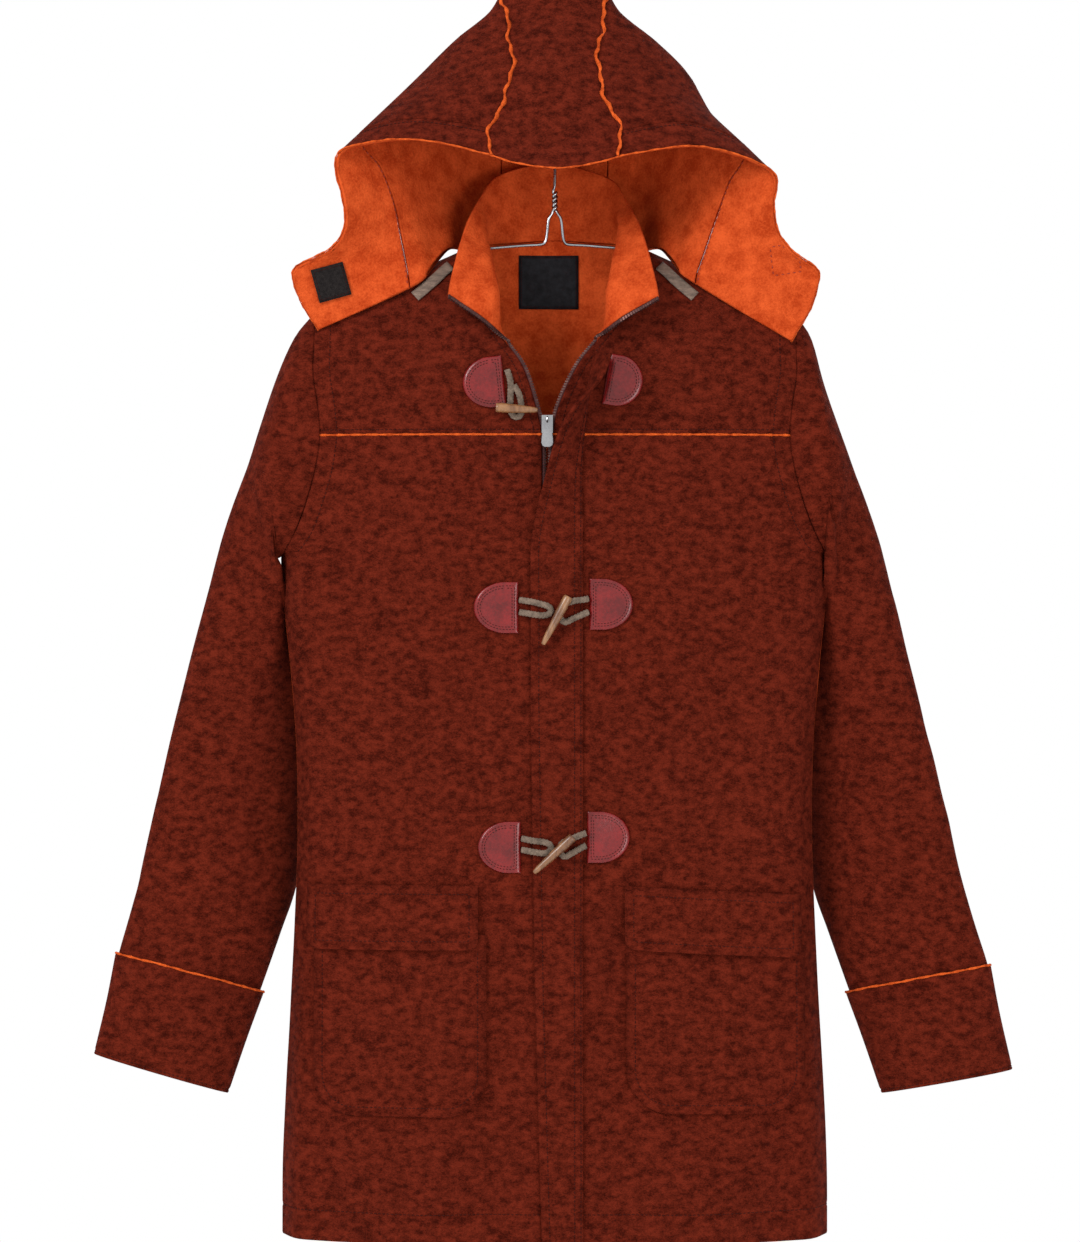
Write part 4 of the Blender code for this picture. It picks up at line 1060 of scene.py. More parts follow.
class Piece:
    """Places finished meshes in the scene and ties them to the CAD model."""

    @staticmethod
    def add(
        obj: bpy.types.Object,
        finish: Finish,
        replaces: Sequence[str] = (),
        body: str = BODY,
        smooth: bool = True,
    ) -> bpy.types.Object:
        """Puts a finished piece in the scene, ties it to its CAD body and hides the CAD nodes that it stands
        for.

        Args:
            obj: the piece.
            finish: its finish, which only goes to the log.
            replaces: CAD nodes that it stands for.
            body: the CAD body that it rides on.
            smooth: whether its faces shade smoothly.

        Returns:
            The same object.
        """
        if obj.name not in bpy.context.scene.collection.objects:
            bpy.context.scene.collection.objects.link(obj)
        if smooth and obj.type == "MESH":
            obj.data.shade_smooth()
        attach(obj, body)
        if replaces:
            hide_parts(*replaces)
        LOG.info("piece %s: %s", obj.name, finish.value)
        return obj

    @staticmethod
    def mesh(name: str, verts: np.ndarray, faces: Sequence, materials: Sequence) -> bpy.types.Object:
        """A mesh object from points and faces.

        Args:
            name: its name.
            verts: points in millimetres.
            faces: vertex numbers of each face.
            materials: its materials.

        Returns:
            The object, not yet in the scene.
        """
        mesh = bpy.data.meshes.new(name)
        mesh.from_pydata([tuple(v) for v in np.asarray(verts) * MM], [], [tuple(f) for f in faces])
        mesh.update()
        for one in materials:
            mesh.materials.append(one)
        return bpy.data.objects.new(name, mesh)


@dataclass(frozen=True)
class Edges:
    """Distances of topstitching from the four edges of a sheet, in millimetres."""

    top: tuple[float, ...] = ()
    foot: tuple[float, ...] = ()
    start: tuple[float, ...] = ()
    end: tuple[float, ...] = ()


@dataclass
class Sheet:
    """A sheet of cloth: a fine grid over a coarse one, with its creases and stitched grooves."""

    GROOVE = 0.75
    EDGE_DIP = 0.55
    SHOULDER = 2.6
    # A normal that points less than this outward is on doubled cloth, and is turned outward
    TWISTED = 0.2
    # A sleeve's inner face is brown over this height, to hide its doubled edge at the underarm
    UNDERARM = -720.0

    name: str
    rows: Rows
    flip: bool = False
    thick: float = CLOTH
    edges: Edges = field(default_factory=Edges)
    step: float = 6.5
    creases: bool = True
    line_foot: float = -2000.0
    fine: bool = False
    closed: bool = False
    grid: np.ndarray = field(init=False)
    normals: np.ndarray = field(init=False)
    across: np.ndarray = field(init=False)
    down: np.ndarray = field(init=False)

    def __post_init__(self) -> None:
        coarse = np.array(self.rows, dtype=float)
        steps = 1 if self.fine else 5
        fine_rows = [Curves.catmull(row, [steps] * (len(row) - 1)) for row in coarse]
        mean = float(np.mean([Curves.lengths(r)[-1] for r in fine_rows]))
        plan = self._stations(mean, self.edges.start, self.edges.end)
        across = self._resampled(fine_rows, plan)
        columns = [
            Curves.catmull([row[j] for row in across], [steps] * (len(across) - 1))
            for j in range(len(across[0]))
        ]
        mean_down = float(np.mean([Curves.lengths(c)[-1] for c in columns]))
        down = self._stations(mean_down, self.edges.top, self.edges.foot)
        fine = self._resampled(columns, down)
        self.grid = np.stack(fine, axis=1)
        self.normals = self.normals_of(self.grid)
        self.across = self._marks(plan)
        self.down = self._marks(down)

    def _stations(self, total: float, first: Sequence[float], last: Sequence[float]) -> tuple:
        """Plans where the grid's lines go along one direction.

        Args:
            total: mean length.
            first: stitch distances from the start.
            last: stitch distances from the end.

        Returns:
            Distances from the start, shares between, distances from the end, stitch distances.
        """
        def near(lines: Sequence[float]) -> list[float]:
            marks = {0.0, 1.6, 3.6}
            for d in lines:
                marks |= {max(d - self.SHOULDER, 0.0), d, d + self.SHOULDER}
            kept = []
            for mark in sorted(marks):
                if not kept or mark - kept[-1] >= 1.0 or mark in lines:
                    if kept and mark - kept[-1] < 1.0 and kept[-1] not in lines and kept[-1] > 0:
                        kept.pop()
                    kept.append(mark)
            return kept

        start, end = near(first), near(last)
        rest = max(total - start[-1] - end[-1], self.step)
        count = max(int(round(rest / self.step)), 1)
        shares = [k / count for k in range(1, count)]
        return start, shares, end[::-1], tuple(first), tuple(last)

    @staticmethod
    def _resampled(curves: Sequence[np.ndarray], plan: tuple) -> list[np.ndarray]:
        """Points of curves side by side at the planned stations.

        Args:
            curves: the curves, with as many points each.
            plan: the plan of stations.

        Returns:
            The points of each curve.
        """
        start, shares, end = plan[0], plan[1], plan[2]
        runs = [Curves.lengths(curve) for curve in curves]
        common = np.mean([run / run[-1] for run in runs], axis=0)
        mean = float(np.mean([run[-1] for run in runs]))
        first, last = start[-1] / mean, 1 - end[0] / mean
        marks = np.array([first] + [first + (last - first) * t for t in shares] + [last])
        out = []
        for curve, run in zip(curves, runs):
            shrink = min(1.0, 0.8 * run[-1] / (start[-1] + end[0] + 1e-6))
            low, high = start[-1] * shrink, run[-1] - end[0] * shrink
            own = np.interp(marks, common, run)
            own = (own[1:-1] - own[0]) / (own[-1] - own[0])
            where = [s * shrink for s in start] + list(low + (high - low) * own)
            where += [run[-1] - e * shrink for e in end]
            out.append(Curves.at_lengths(curve, np.array(where)))
        return out

    @staticmethod
    def _marks(plan: tuple) -> np.ndarray:
        """Kind of every station: 1 on a stitch line, 0.45 beside it, 2 at an edge, else 0.

        Args:
            plan: the plan of stations.

        Returns:
            One number for each station.
        """
        start, shares, end, first, last = plan
        marks = [1.0 if s in first else 0.0 for s in start] + [0.0] * len(shares)
        marks += [1.0 if e in last else 0.0 for e in end]
        out = np.array(marks)
        out[0] = out[-1] = 2.0
        return out

    def normals_of(self, grid: np.ndarray) -> np.ndarray:
        """Unit normals at the grid's points.

        Args:
            grid: the points.

        Returns:
            The normals.
        """
        du = np.gradient(grid, axis=1)
        dv = np.gradient(grid, axis=0)
        n = np.cross(du, dv)
        if self.flip:
            n = -n
        if self.closed:
            n[:, 0] = n[:, -1] = n[:, 0] + n[:, -1]
            n /= np.maximum(np.linalg.norm(n, axis=-1, keepdims=True), 1e-9)
            out = grid - grid.mean(axis=1, keepdims=True)
            out /= np.linalg.norm(out, axis=-1, keepdims=True)
            inverted = (n * out).sum(axis=-1, keepdims=True) < self.TWISTED
            n = np.where(inverted, out, n)
        return n / np.maximum(np.linalg.norm(n, axis=-1, keepdims=True), 1e-9)

    def form(self) -> None:
        """Adds the creases, the grooves under the stitching and the dip along the edges."""
        n = self.normals
        x, z = self.grid[..., 0], self.grid[..., 2]
        lift = np.zeros(x.shape)
        if self.creases:
            facing = np.clip(-n[..., 1] * 1.6, 0, 1)
            away = np.clip(n[..., 1] * 1.6, 0, 1)
            for crease in FRONT_CREASES:
                lift += crease.lift(x, z) * facing
            for crease in BACK_CREASES:
                lift += crease.lift(x, z) * away
            lift += Ripple.over(self.grid) * 0.5
            rows, columns = lift.shape
            hold_u = np.minimum(np.arange(columns), np.arange(columns)[::-1])
            hold_v = np.minimum(np.arange(rows), np.arange(rows)[::-1])
            lift *= np.clip(np.minimum(hold_v[:, None], hold_u[None, :]) / 5.0, 0.25, 1)
        for marks, axis in ((self.across, 1), (self.down, 0)):
            shape = (1, -1) if axis == 1 else (-1, 1)
            held = np.where(z > self.line_foot, 1.0, 0.0) if axis == 1 else 1.0
            lift -= np.where(marks == 1.0, self.GROOVE, 0.0).reshape(shape) * held
            if axis == 0 or not self.closed:
                lift -= np.where(marks == 2.0, self.EDGE_DIP, 0.0).reshape(shape)
        if self.closed:
            lift[:, 0] = lift[:, -1] = (lift[:, 0] + lift[:, -1]) / 2
        self.grid = self.grid + n * lift[..., None]
        self.normals = self.normals_of(self.grid)

    def line(self, edge: str, distance: float) -> tuple[np.ndarray, np.ndarray]:
        """The stitch line at a distance from one edge.

        Args:
            edge: top, foot, start or end.
            distance: one of that edge's distances.

        Returns:
            Its points and their normals.
        """
        marks = self.down if edge in ("top", "foot") else self.across
        lines = getattr(self.edges, edge)
        hits = np.flatnonzero(marks == 1.0)
        order = sorted(lines)
        index = hits[order.index(distance)] if edge in ("top", "start") else hits[::-1][order.index(distance)]
        if edge in ("top", "foot"):
            return self.grid[index], self.normals[index]
        return self.grid[:, index], self.normals[:, index]

    def border(self, edge: str) -> tuple[np.ndarray, np.ndarray]:
        """One edge of the sheet.

        Args:
            edge: top, foot, start or end.

        Returns:
            Its points and their normals.
        """
        pick = {"top": (0, slice(None)), "foot": (-1, slice(None)),
                "start": (slice(None), 0), "end": (slice(None), -1)}[edge]
        return self.grid[pick], self.normals[pick]

    def build(self, outside, inside, node: str | None = None) -> bpy.types.Object:
        """Makes the sheet's mesh: one grid, thickened towards the inside.

        Args:
            outside: material of the outer face.
            inside: material of the inner face and the cut edge.
            node: the CAD node that it stands for.

        Returns:
            The object.
        """
        rows, columns = self.grid.shape[:2]
        index = np.arange(rows * columns).reshape(rows, columns)
        quads = np.stack(
            [index[:-1, :-1], index[:-1, 1:], index[1:, 1:], index[1:, :-1]], axis=-1
        ).reshape(-1, 4)
        if self.flip:
            quads = quads[:, ::-1]
        slots = [outside, inside, outside, outside] if self.closed else [outside, inside]
        obj = Piece.mesh(self.name + "_cloth", self.grid.reshape(-1, 3), quads, slots)
        if self.closed:
            for face in obj.data.polygons:
                if face.center.z > self.UNDERARM * MM:
                    face.material_index = 2
        wall = obj.modifiers.new("thickness", "SOLIDIFY")
        wall.thickness = self.thick * MM
        wall.offset = -1.0
        wall.material_offset = 1
        wall.material_offset_rim = 0 if self.closed else 1
        Piece.add(obj, Finish.FLEECE, [node or self.name])
        self.declare()
        return obj

    def declare(self) -> None:
        """Works out the flat size of the sheet, and does nothing more with it.
        """
        width, length, area = Curves.flat_size(self.grid)


class Ripple:
    """A faint uneven swell of the whole cloth."""

    @staticmethod
    def over(points: np.ndarray) -> np.ndarray:
        """Height of the swell at each point.

        Args:
            points: places in millimetres.

        Returns:
            Heights in millimetres.
        """
        x, y, z = points[..., 0], points[..., 1], points[..., 2]
        swell = np.sin(x * 0.031 + z * 0.013 + 1.3) * np.sin(z * 0.021 - x * 0.009)
        swell += 0.6 * np.sin(x * 0.071 - z * 0.034 + y * 0.02) * np.sin(z * 0.047 + 0.7)
        return swell


@dataclass
class Stitches:
    """Short threads along lines of the cloth, joined into one mesh."""

    name: str
    look: bpy.types.Material
    pitch: float = 3.9
    length: float = 2.9
    radius: float = 0.42
    lines: list = field(default_factory=list)

    SIDES = 4
    # share of the length, height of the thread over the cloth in radii, share of the radius
    SHAPE = ((0.0, -0.9, 0.55), (0.25, 0.35, 1.0), (0.75, 0.35, 1.0), (1.0, -0.9, 0.55))

    def add(self, line: tuple[np.ndarray, np.ndarray], lift: float = 0.25) -> None:
        """Adds a line to sew along.

        Args:
            line: its points and their normals.
            lift: how far the threads stand over the points.
        """
        points, normals = line
        keep = np.concatenate([[True], np.linalg.norm(np.diff(points, axis=0), axis=1) > 1e-4])
        self.lines.append((points[keep] + normals[keep] * lift, normals[keep]))

    def build(self) -> bpy.types.Object | None:
        """Makes the mesh of all threads.

        Returns:
            The object, or None without any line.
        """
        verts, faces = [], []
        for points, normals in self.lines:
            run = Curves.lengths(points)
            count = int(run[-1] // self.pitch)
            if count < 1:
                continue
            starts = (run[-1] - count * self.pitch) / 2 + np.arange(count) * self.pitch
            starts = starts + (self.pitch - self.length) / 2
            stack = []
            for share, height, wide in self.SHAPE:
                at = starts + share * self.length
                place = np.stack([np.interp(at, run, points[:, k]) for k in range(3)], axis=1)
                up = np.stack([np.interp(at, run, normals[:, k]) for k in range(3)], axis=1)
                ahead = np.stack(
                    [np.interp(at + 0.8, run, points[:, k]) - np.interp(at - 0.8, run, points[:, k])
                     for k in range(3)], axis=1)
                side = np.cross(ahead, up)
                side /= np.maximum(np.linalg.norm(side, axis=1, keepdims=True), 1e-9)
                centre = place + up * height * self.radius
                ring = []
                for k in range(self.SIDES):
                    a = 2 * pi * (k + 0.5) / self.SIDES
                    ring.append(centre + (side * cos(a) + up * sin(a)) * self.radius * wide)
                stack.append(np.stack(ring, axis=1))
            block = np.stack(stack, axis=1)
            base = len(verts)
            verts.extend(block.reshape(-1, 3))
            for k in range(count):
                first = base + k * len(self.SHAPE) * self.SIDES
                for r in range(len(self.SHAPE) - 1):
                    for j in range(self.SIDES):
                        a = first + r * self.SIDES + j
                        b = first + r * self.SIDES + (j + 1) % self.SIDES
                        faces.append((a, b, b + self.SIDES, a + self.SIDES))
                faces.append(tuple(first + j for j in range(self.SIDES))[::-1])
                top = first + (len(self.SHAPE) - 1) * self.SIDES
                faces.append(tuple(top + j for j in range(self.SIDES)))
        if not verts:
            return None
        return Piece.add(Piece.mesh(self.name, np.array(verts), faces, [self.look]), Finish.TAPE)


@dataclass(frozen=True)
class RawEdge:
    """The cut edge of the fleece where one piece lies on another: a thin uneven rib."""

    name: str
    width: float = 2.4
    height: float = 1.3
    wave: float = 0.55
    PROFILE = ((-0.5, -0.4), (-0.5, 0.35), (-0.2, 0.95), (0.25, 1.0), (0.5, 0.4), (0.5, -0.4))

    def build(self, line: tuple[np.ndarray, np.ndarray], look, lift: float = 0.5) -> bpy.types.Object:
        """Makes the rib along a line.

        Args:
            line: points and normals.
            look: its material.
            lift: how far its foot stands over the line.

        Returns:
            The object.
        """
        points, normals = line
        path = Curves.even(np.hstack([points, normals * 0.001]), 2.5)
        place, up = path[:, :3], path[:, 3:]
        up = up / np.linalg.norm(up, axis=1, keepdims=True)
        ahead = np.gradient(place, axis=0)
        side = np.cross(ahead, up)
        side /= np.linalg.norm(side, axis=1, keepdims=True)
        run = Curves.lengths(place)
        seed = float(len(self.name))
        sway = np.sin(run * 0.29 + seed) * 0.6 + np.sin(run * 0.117 + seed * 1.7)
        swell = 1.0 + 0.22 * np.sin(run * 0.41 + seed) + 0.15 * np.sin(run * 0.93)
        rings = []
        for dx, dy in self.PROFILE:
            off = dx * self.width * swell + sway * self.wave
            rings.append(place + side * off[:, None] + up * (lift + dy * self.height * swell)[:, None])
        grid = np.stack(rings, axis=1)
        count, width = grid.shape[:2]
        faces = []
        for i in range(count - 1):
            for j in range(width):
                k = (j + 1) % width
                faces.append((i * width + j, i * width + k, (i + 1) * width + k, (i + 1) * width + j))
        faces.append(tuple(range(width))[::-1])
        faces.append(tuple((count - 1) * width + j for j in range(width)))
        obj = Piece.mesh(self.name, grid.reshape(-1, 3), faces, [look])
        return Piece.add(obj, Finish.FLEECE)


class Ground:
    """The cloth that other pieces lie on, searched from the front."""

    def __init__(self, sheets: Sequence[Sheet]) -> None:
        verts: list[tuple[float, float, float]] = []
        faces: list[tuple[int, ...]] = []
        for sheet in sheets:
            rows, columns = sheet.grid.shape[:2]
            base = len(verts)
            verts += [tuple(p) for p in sheet.grid.reshape(-1, 3)]
            for i in range(rows - 1):
                for j in range(columns - 1):
                    a = base + i * columns + j
                    faces.append((a, a + 1, a + columns + 1, a + columns))
        self.tree = BVHTree.FromPolygons(verts, faces)

    def hit(self, x: float, z: float) -> tuple[float, Vector] | None:
        """The foremost cloth straight behind a point of the front view.

        Args:
            x: position across.
            z: height.

        Returns:
            Its y and normal, or None where there is no cloth.
        """
        place, normal, _, _ = self.tree.ray_cast(Vector((x, -400.0, z)), Vector((0, 1, 0)))
        if place is None:
            return None
        return place.y, normal if normal.y < 0 else -normal

    def level(self, x: float, z: float, spread: float = 1.5) -> float:
        """The foremost cloth near a point, as y.

        Args:
            x: position across.
            z: height.
            spread: how far round it to look.

        Returns:
            The y.
        """
        found: list[float] = []
        while not found:
            for dx, dz in ((0, 0), (spread, 0), (-spread, 0), (0, spread), (0, -spread)):
                hit = self.hit(x + dx, z + dz)
                if hit is not None:
                    found.append(hit[0])
            spread += 3.0
        return min(found)

    def smooth_level(self, rows: list, gap: float) -> np.ndarray:
        """Sets a grid of x and z on the cloth, gap in front of it, without its small bumps.

        Args:
            rows: rows of x and z.
            gap: the distance to keep.

        Returns:
            The grid of points.
        """
        return np.array([[(x, self.level(x, z) - gap, z) for x, z in row] for row in rows])


class Laid:
    """Pieces that lie on the front: outlines, inset lines and their cloth."""

    @staticmethod
    def inset(outline: np.ndarray, distance: float) -> np.ndarray:
        """A closed outline moved inwards.

        Args:
            outline: points of x and z, counter-clockwise or clockwise.
            distance: how far in.

        Returns:
            The inner outline.
        """
        ahead = np.roll(outline, -1, axis=0) - np.roll(outline, 1, axis=0)
        ahead /= np.maximum(np.linalg.norm(ahead, axis=1, keepdims=True), 1e-9)
        area = np.sum(outline[:, 0] * np.roll(outline[:, 1], -1) - np.roll(outline[:, 0], -1) * outline[:, 1])
        inward = np.stack([-ahead[:, 1], ahead[:, 0]], axis=1) * (1 if area > 0 else -1)
        return outline + inward * distance

    @staticmethod
    def ring(rows: list, drop: Sequence[str] = ()) -> np.ndarray:
        """The outline of a grid of x and z, as one run round it.

        Args:
            rows: the grid.
            drop: edges to leave out, at the start of the run: top.

        Returns:
            The points.
        """
        grid = np.array(rows, dtype=float)
        start, foot, end = grid[:, 0], grid[-1, 1:], grid[:-1, -1][::-1]
        run = np.concatenate([start, foot, end])
        if "top" not in drop:
            run = np.concatenate([run, grid[0, 1:-1][::-1]])
        return run

    @staticmethod
    def pocket_rows(spec: Sequence[float], columns: int = 26) -> list:
        """Rows of x and z of a pocket bag or flap whose lower corners are round.

        Args:
            spec: centre x, top z, foot z, half width, slope of the top edge, corner radius.
            columns: steps across.

        Returns:
            The rows.
        """
        centre, top, foot, half, slope, radius = spec
        straight = max(int((top - foot - radius) / 6), 3)
        levels = [top + (foot + radius - top) * k / straight for k in range(straight)]
        levels += [foot + radius * (1 - sin(k / 9 * pi / 2)) for k in range(10)]
        rows = []
        for z in levels:
            low = min(max(0.0, (foot + radius - z) / radius), 1.0)
            width = half - radius * (1 - (1 - low**2) ** 0.5)
            row = []
            for k in range(columns + 1):
                x = centre + width * (2 * k / columns - 1)
                row.append((x, z + slope * (x - centre)))
            rows.append(row)
        return rows

    @staticmethod
    def patch_rows(edge_x: float, mid_z: float, side: int, tilt: float, wide: float) -> list:
        """Rows of x and z of a leather patch with one straight edge and one round side.

        Args:
            edge_x: x of the middle of the straight edge.
            mid_z: its z.
            side: which side the round is on.
            tilt: turn in degrees.
            wide: width.

        Returns:
            The rows.
        """
        rows = []
        a = radians(tilt)
        for i in range(19):
            share = cos(pi * i / 18)
            width = wide * (0.3 + 0.7 * max(1 - share * share, 0.0) ** 0.5)
            row = []
            for k in range(15):
                dx, dz = side * width * k / 14, PATCH_HEIGHT / 2 * share
                row.append((edge_x + dx * cos(a) - dz * sin(a), mid_z + dx * sin(a) + dz * cos(a)))
            rows.append(row if side > 0 else row[::-1])
        return rows

    @staticmethod
    def slab(
        name: str,
        rows: list,
        ground: Ground,
        thick: float,
        look,
        finish: Finish,
        node: str,
        crown: float = 0.8,
        gap: float = LAY_GAP,
        under=None,
        dent: Callable[[np.ndarray, np.ndarray], np.ndarray] | None = None,
        lies_on: str = "front_panel_left",
    ) -> tuple[bpy.types.Object, Ground]:
        """A flat piece with a rounded edge, laid on the cloth.

        Args:
            name: its name.
            rows: rows of x and z.
            ground: what it lies on.
            thick: its thickness.
            look: its material.
            finish: its finish, which only goes to the log.
            node: the CAD node that it stands for.
            crown: how far its middle stands over its edge.
            gap: distance to the cloth.
            under: material of the back and the cut edge.
            dent: extra height over the piece for x and z.
            lies_on: the CAD node that it is laid on; not used.

        Returns:
            The object, and its own surface as ground for what lies on it.
        """
        grid = ground.smooth_level(rows, gap + thick)
        count, width = grid.shape[:2]
        u = np.minimum(np.arange(width), np.arange(width)[::-1])[None, :]
        v = np.minimum(np.arange(count), np.arange(count)[::-1])[:, None]
        inside = np.clip(np.minimum(u, v) / EDGE_ROUND, 0, 1)
        grid[..., 1] -= (inside - 1) * crown + crown * 0.5
        if dent is not None:
            grid[..., 1] -= dent(grid[..., 0], grid[..., 2])
        sheet = PlainSheet(name, grid)
        index = np.arange(count * width).reshape(count, width)
        quads = np.stack([index[:-1, :-1], index[1:, :-1], index[1:, 1:], index[:-1, 1:]], axis=-1)
        looks = [look] if under is None else [look, under]
        obj = Piece.mesh(name, grid.reshape(-1, 3), quads.reshape(-1, 4), looks)
        wall = obj.modifiers.new("thickness", "SOLIDIFY")
        wall.thickness = thick * MM
        wall.offset = -1.0
        if under is not None:
            wall.material_offset = 1
            wall.material_offset_rim = 1
        Piece.add(obj, finish, [node])
        width, length, area = Curves.flat_size(grid)
        return obj, Ground([sheet])


@dataclass
class PlainSheet:
    """A finished grid, for searching only."""

    name: str
    grid: np.ndarray


@dataclass(frozen=True)
class Toggle:
    """A tapered toggle, turned about its own axis."""

    name: str
    thick_end: tuple[float, float]
    thin_end: tuple[float, float]
    height: float
    PROFILE = TOGGLE_SHAPE

    def build(self, level: float, look) -> bpy.types.Object:
        """Makes the toggle.

        Args:
            level: y of the cloth under it.
            look: its material.

        Returns:
            The object.
        """
        a = Vector((self.thick_end[0], level - self.height, self.thick_end[1])) * MM
        b = Vector((self.thin_end[0], level - self.height, self.thin_end[1])) * MM
        length = (b - a).length
        bm = bmesh.new()
        run = Curves.catmull([(r, 0, s * length / MM) for s, r in self.PROFILE], [1, 2, 3, 5, 5, 5, 4, 3])
        chain = [bm.verts.new((max(p[0], 0.0) * MM, 0, min(max(p[2], 0.0) * MM, length))) for p in run]
        for first, second in zip(chain, chain[1:]):
            bm.edges.new((first, second))
        bmesh.ops.spin(
            bm, geom=list(bm.verts) + list(bm.edges), axis=(0, 0, 1), cent=(0, 0, 0),
            angle=2 * pi, steps=28, use_merge=True,
        )
        bmesh.ops.remove_doubles(bm, verts=bm.verts, dist=0.00001)
        bmesh.ops.recalc_face_normals(bm, faces=bm.faces)
        turn = (b - a).to_track_quat("Z", "Y").to_matrix().to_4x4()
        bm.transform(Matrix.Translation(a) @ turn)
        mesh = bpy.data.meshes.new(self.name + "_turned")
        bm.to_mesh(mesh)
        bm.free()
        mesh.materials.append(look)
        obj = bpy.data.objects.new(self.name + "_turned", mesh)
        return Piece.add(obj, Finish.HORN, [self.name])


class Cord:
    """A flat braided cord along a run over the front."""

    SIDES = 14
    STRAND = 0.16

    @classmethod
    def build(cls, name: str, run: Sequence[Point], level: float, look) -> bpy.types.Object:
        """Makes the cord.

        Args:
            name: its CAD node.
            run: x, z and height of its middle.
            level: y of the cloth under it.
            look: its material.

        Returns:
            The object.
        """
        points = np.array([(x, level - height, z) for x, z, height in run], dtype=float)
        path = Curves.even(Curves.catmull(points, [6] * (len(points) - 1)), 0.7)
        ahead = np.gradient(path, axis=0)
        ahead /= np.linalg.norm(ahead, axis=1, keepdims=True)
        side = np.cross(ahead, np.array([0.0, -1.0, 0.0]))
        side /= np.linalg.norm(side, axis=1, keepdims=True)
        up = np.cross(side, ahead)
        up *= -np.sign(up[:, 1:2]) * np.sign(1.0)
        run_length = Curves.lengths(path)
        rings = []
        for k in range(cls.SIDES):
            a = 2 * pi * k / cls.SIDES
            weave = np.sin(run_length * 2.1 + 3 * a) + np.sin(run_length * 2.1 - 3 * a)
            wide = CORD_WIDTH / 2 * cos(a) * (1 + cls.STRAND * 0.3 * weave)
            tall = CORD_THICK / 2 * sin(a) * (1 + cls.STRAND * 0.6 * weave)
            rings.append(path + side * wide[:, None] + up * tall[:, None])
        grid = np.stack(rings, axis=1)
        count, width = grid.shape[:2]
        faces = [
            (i * width + j, i * width + (j + 1) % width,
             (i + 1) * width + (j + 1) % width, (i + 1) * width + j)
            for i in range(count - 1) for j in range(width)
        ]
        faces += [tuple(range(width))[::-1], tuple((count - 1) * width + j for j in range(width))]
        obj = Piece.mesh(name + "_braid", grid.reshape(-1, 3), faces, [look])
        return Piece.add(obj, Finish.CORD, [name])


class Wire:
    """Round wire through points, as a bevelled curve made into a mesh."""

    @staticmethod
    def build(name: str, run: Sequence[Point], radius: float, look, node: str) -> bpy.types.Object:
        """Makes the wire.

        Args:
            name: its name.
            run: points.
            radius: the wire's radius.
            look: its material.
            node: the CAD node that it stands for.

        Returns:
            The object.
        """
        smooth = Curves.even(Curves.catmull(run, [5] * (len(run) - 1)), 1.6)
        curve = bpy.data.curves.new(name, "CURVE")
        curve.dimensions = "3D"
        curve.bevel_depth = radius * MM
        curve.bevel_resolution = 4
        curve.use_fill_caps = True
        spline = curve.splines.new("POLY")
        spline.points.add(len(smooth) - 1)
        for point, co in zip(spline.points, smooth):
            point.co = (*[c * MM for c in co], 1.0)
        curve.materials.append(look)
        obj = bpy.data.objects.new(name, curve)
        return Piece.add(obj, Finish.CHROME, [node])

    @staticmethod
    def hanger_run(side: int) -> list[Point]:
        """The run of one half of the hanger.

        Args:
            side: -1 for the half that goes on into the hook, or 1.

        Returns:
            Its points.
        """
        slope = (RIDGE_Z[0] - RIDGE_Z[1]) / (RIDGE_X[1] - RIDGE_X[0])
        drop = (CLOTH + WIRE_CLEAR + WIRE) * (1 + slope**2) ** 0.5
        run = [(side * x, 0, BodyForm.ridge_z(x) - drop) for x in HANGER_ARM]
        run += [(side * x, 0, z) for x, z in HANGER_NECK]
        start = 0.0 if side > 0 else pi
        for k in range(TWIST_STEPS + 1):
            share = k / TWIST_STEPS
            a = start + 2 * pi * TWIST_COUNT * share
            run.append((TWIST_RADIUS * cos(a), TWIST_RADIUS * sin(a), TWIST_FOOT + TWIST_TALL * share))
        if side < 0:
            run += [(x, 0, z) for x, z in HANGER_STEM]
            for k in range(HOOK_STEPS + 1):
                a = radians(HOOK_START + HOOK_SWEEP * k / HOOK_STEPS)
                run.append((HOOK_RADIUS * cos(a), 0, HOOK_RADIUS * sin(a) - HOOK_RADIUS + WIRE))
        return run


# Creases of the front half and of the back half, on body and sleeves alike
FRONT_CREASES = [
    Crease(-36, -880, -62, -1130, 20, -2.2),
    Crease(-96, -1030, -112, -1146, 17, 2.0),
    Crease(-190, -700, -205, -1010, 20, 1.6),
    Crease(-206, -1010, -198, -1146, 18, -1.6),
    Crease(-226, -500, -150, -610, 17, -2.3),
    Crease(-232, -545, -178, -690, 15, 1.7),
    Crease(-96, -430, -70, -560, 20, 1.4),
    Crease(-60, -600, -120, -720, 22, -1.5),
    Crease(-120, -640, -84, -800, 26, 1.2),
    Crease(52, -860, 68, -1110, 21, -2.4),
    Crease(96, -1035, 92, -1146, 16, 1.8),
    Crease(196, -690, 190, -960, 22, 1.5),
    Crease(214, -1000, 205, -1146, 18, -1.9),
    Crease(226, -490, 158, -640, 18, -2.1),
    Crease(206, -520, 176, -720, 16, 1.6),
    Crease(84, -440, 120, -600, 24, 1.3),
    Crease(120, -620, 66, -760, 24, -1.4),
    Crease(-262, -420, -242, -520, 13, 1.8),
    Crease(-300, -520, -262, -650, 16, -1.8),
    Crease(-330, -700, -262, -760, 13, -1.7),
    Crease(-280, -600, -300, -780, 18, 1.4),
    Crease(-352, -760, -290, -835, 12, 1.5),
    Crease(-372, -830, -300, -880, 11, -1.2),
    Crease(262, -430, 246, -540, 13, 1.7),
    Crease(304, -540, 258, -640, 15, -1.7),
    Crease(336, -690, 262, -740, 13, -1.6),
    Crease(286, -620, 310, -800, 18, 1.5),
    Crease(354, -770, 286, -850, 12, 1.4),
    Crease(368, -840, 296, -900, 11, -1.3),
]
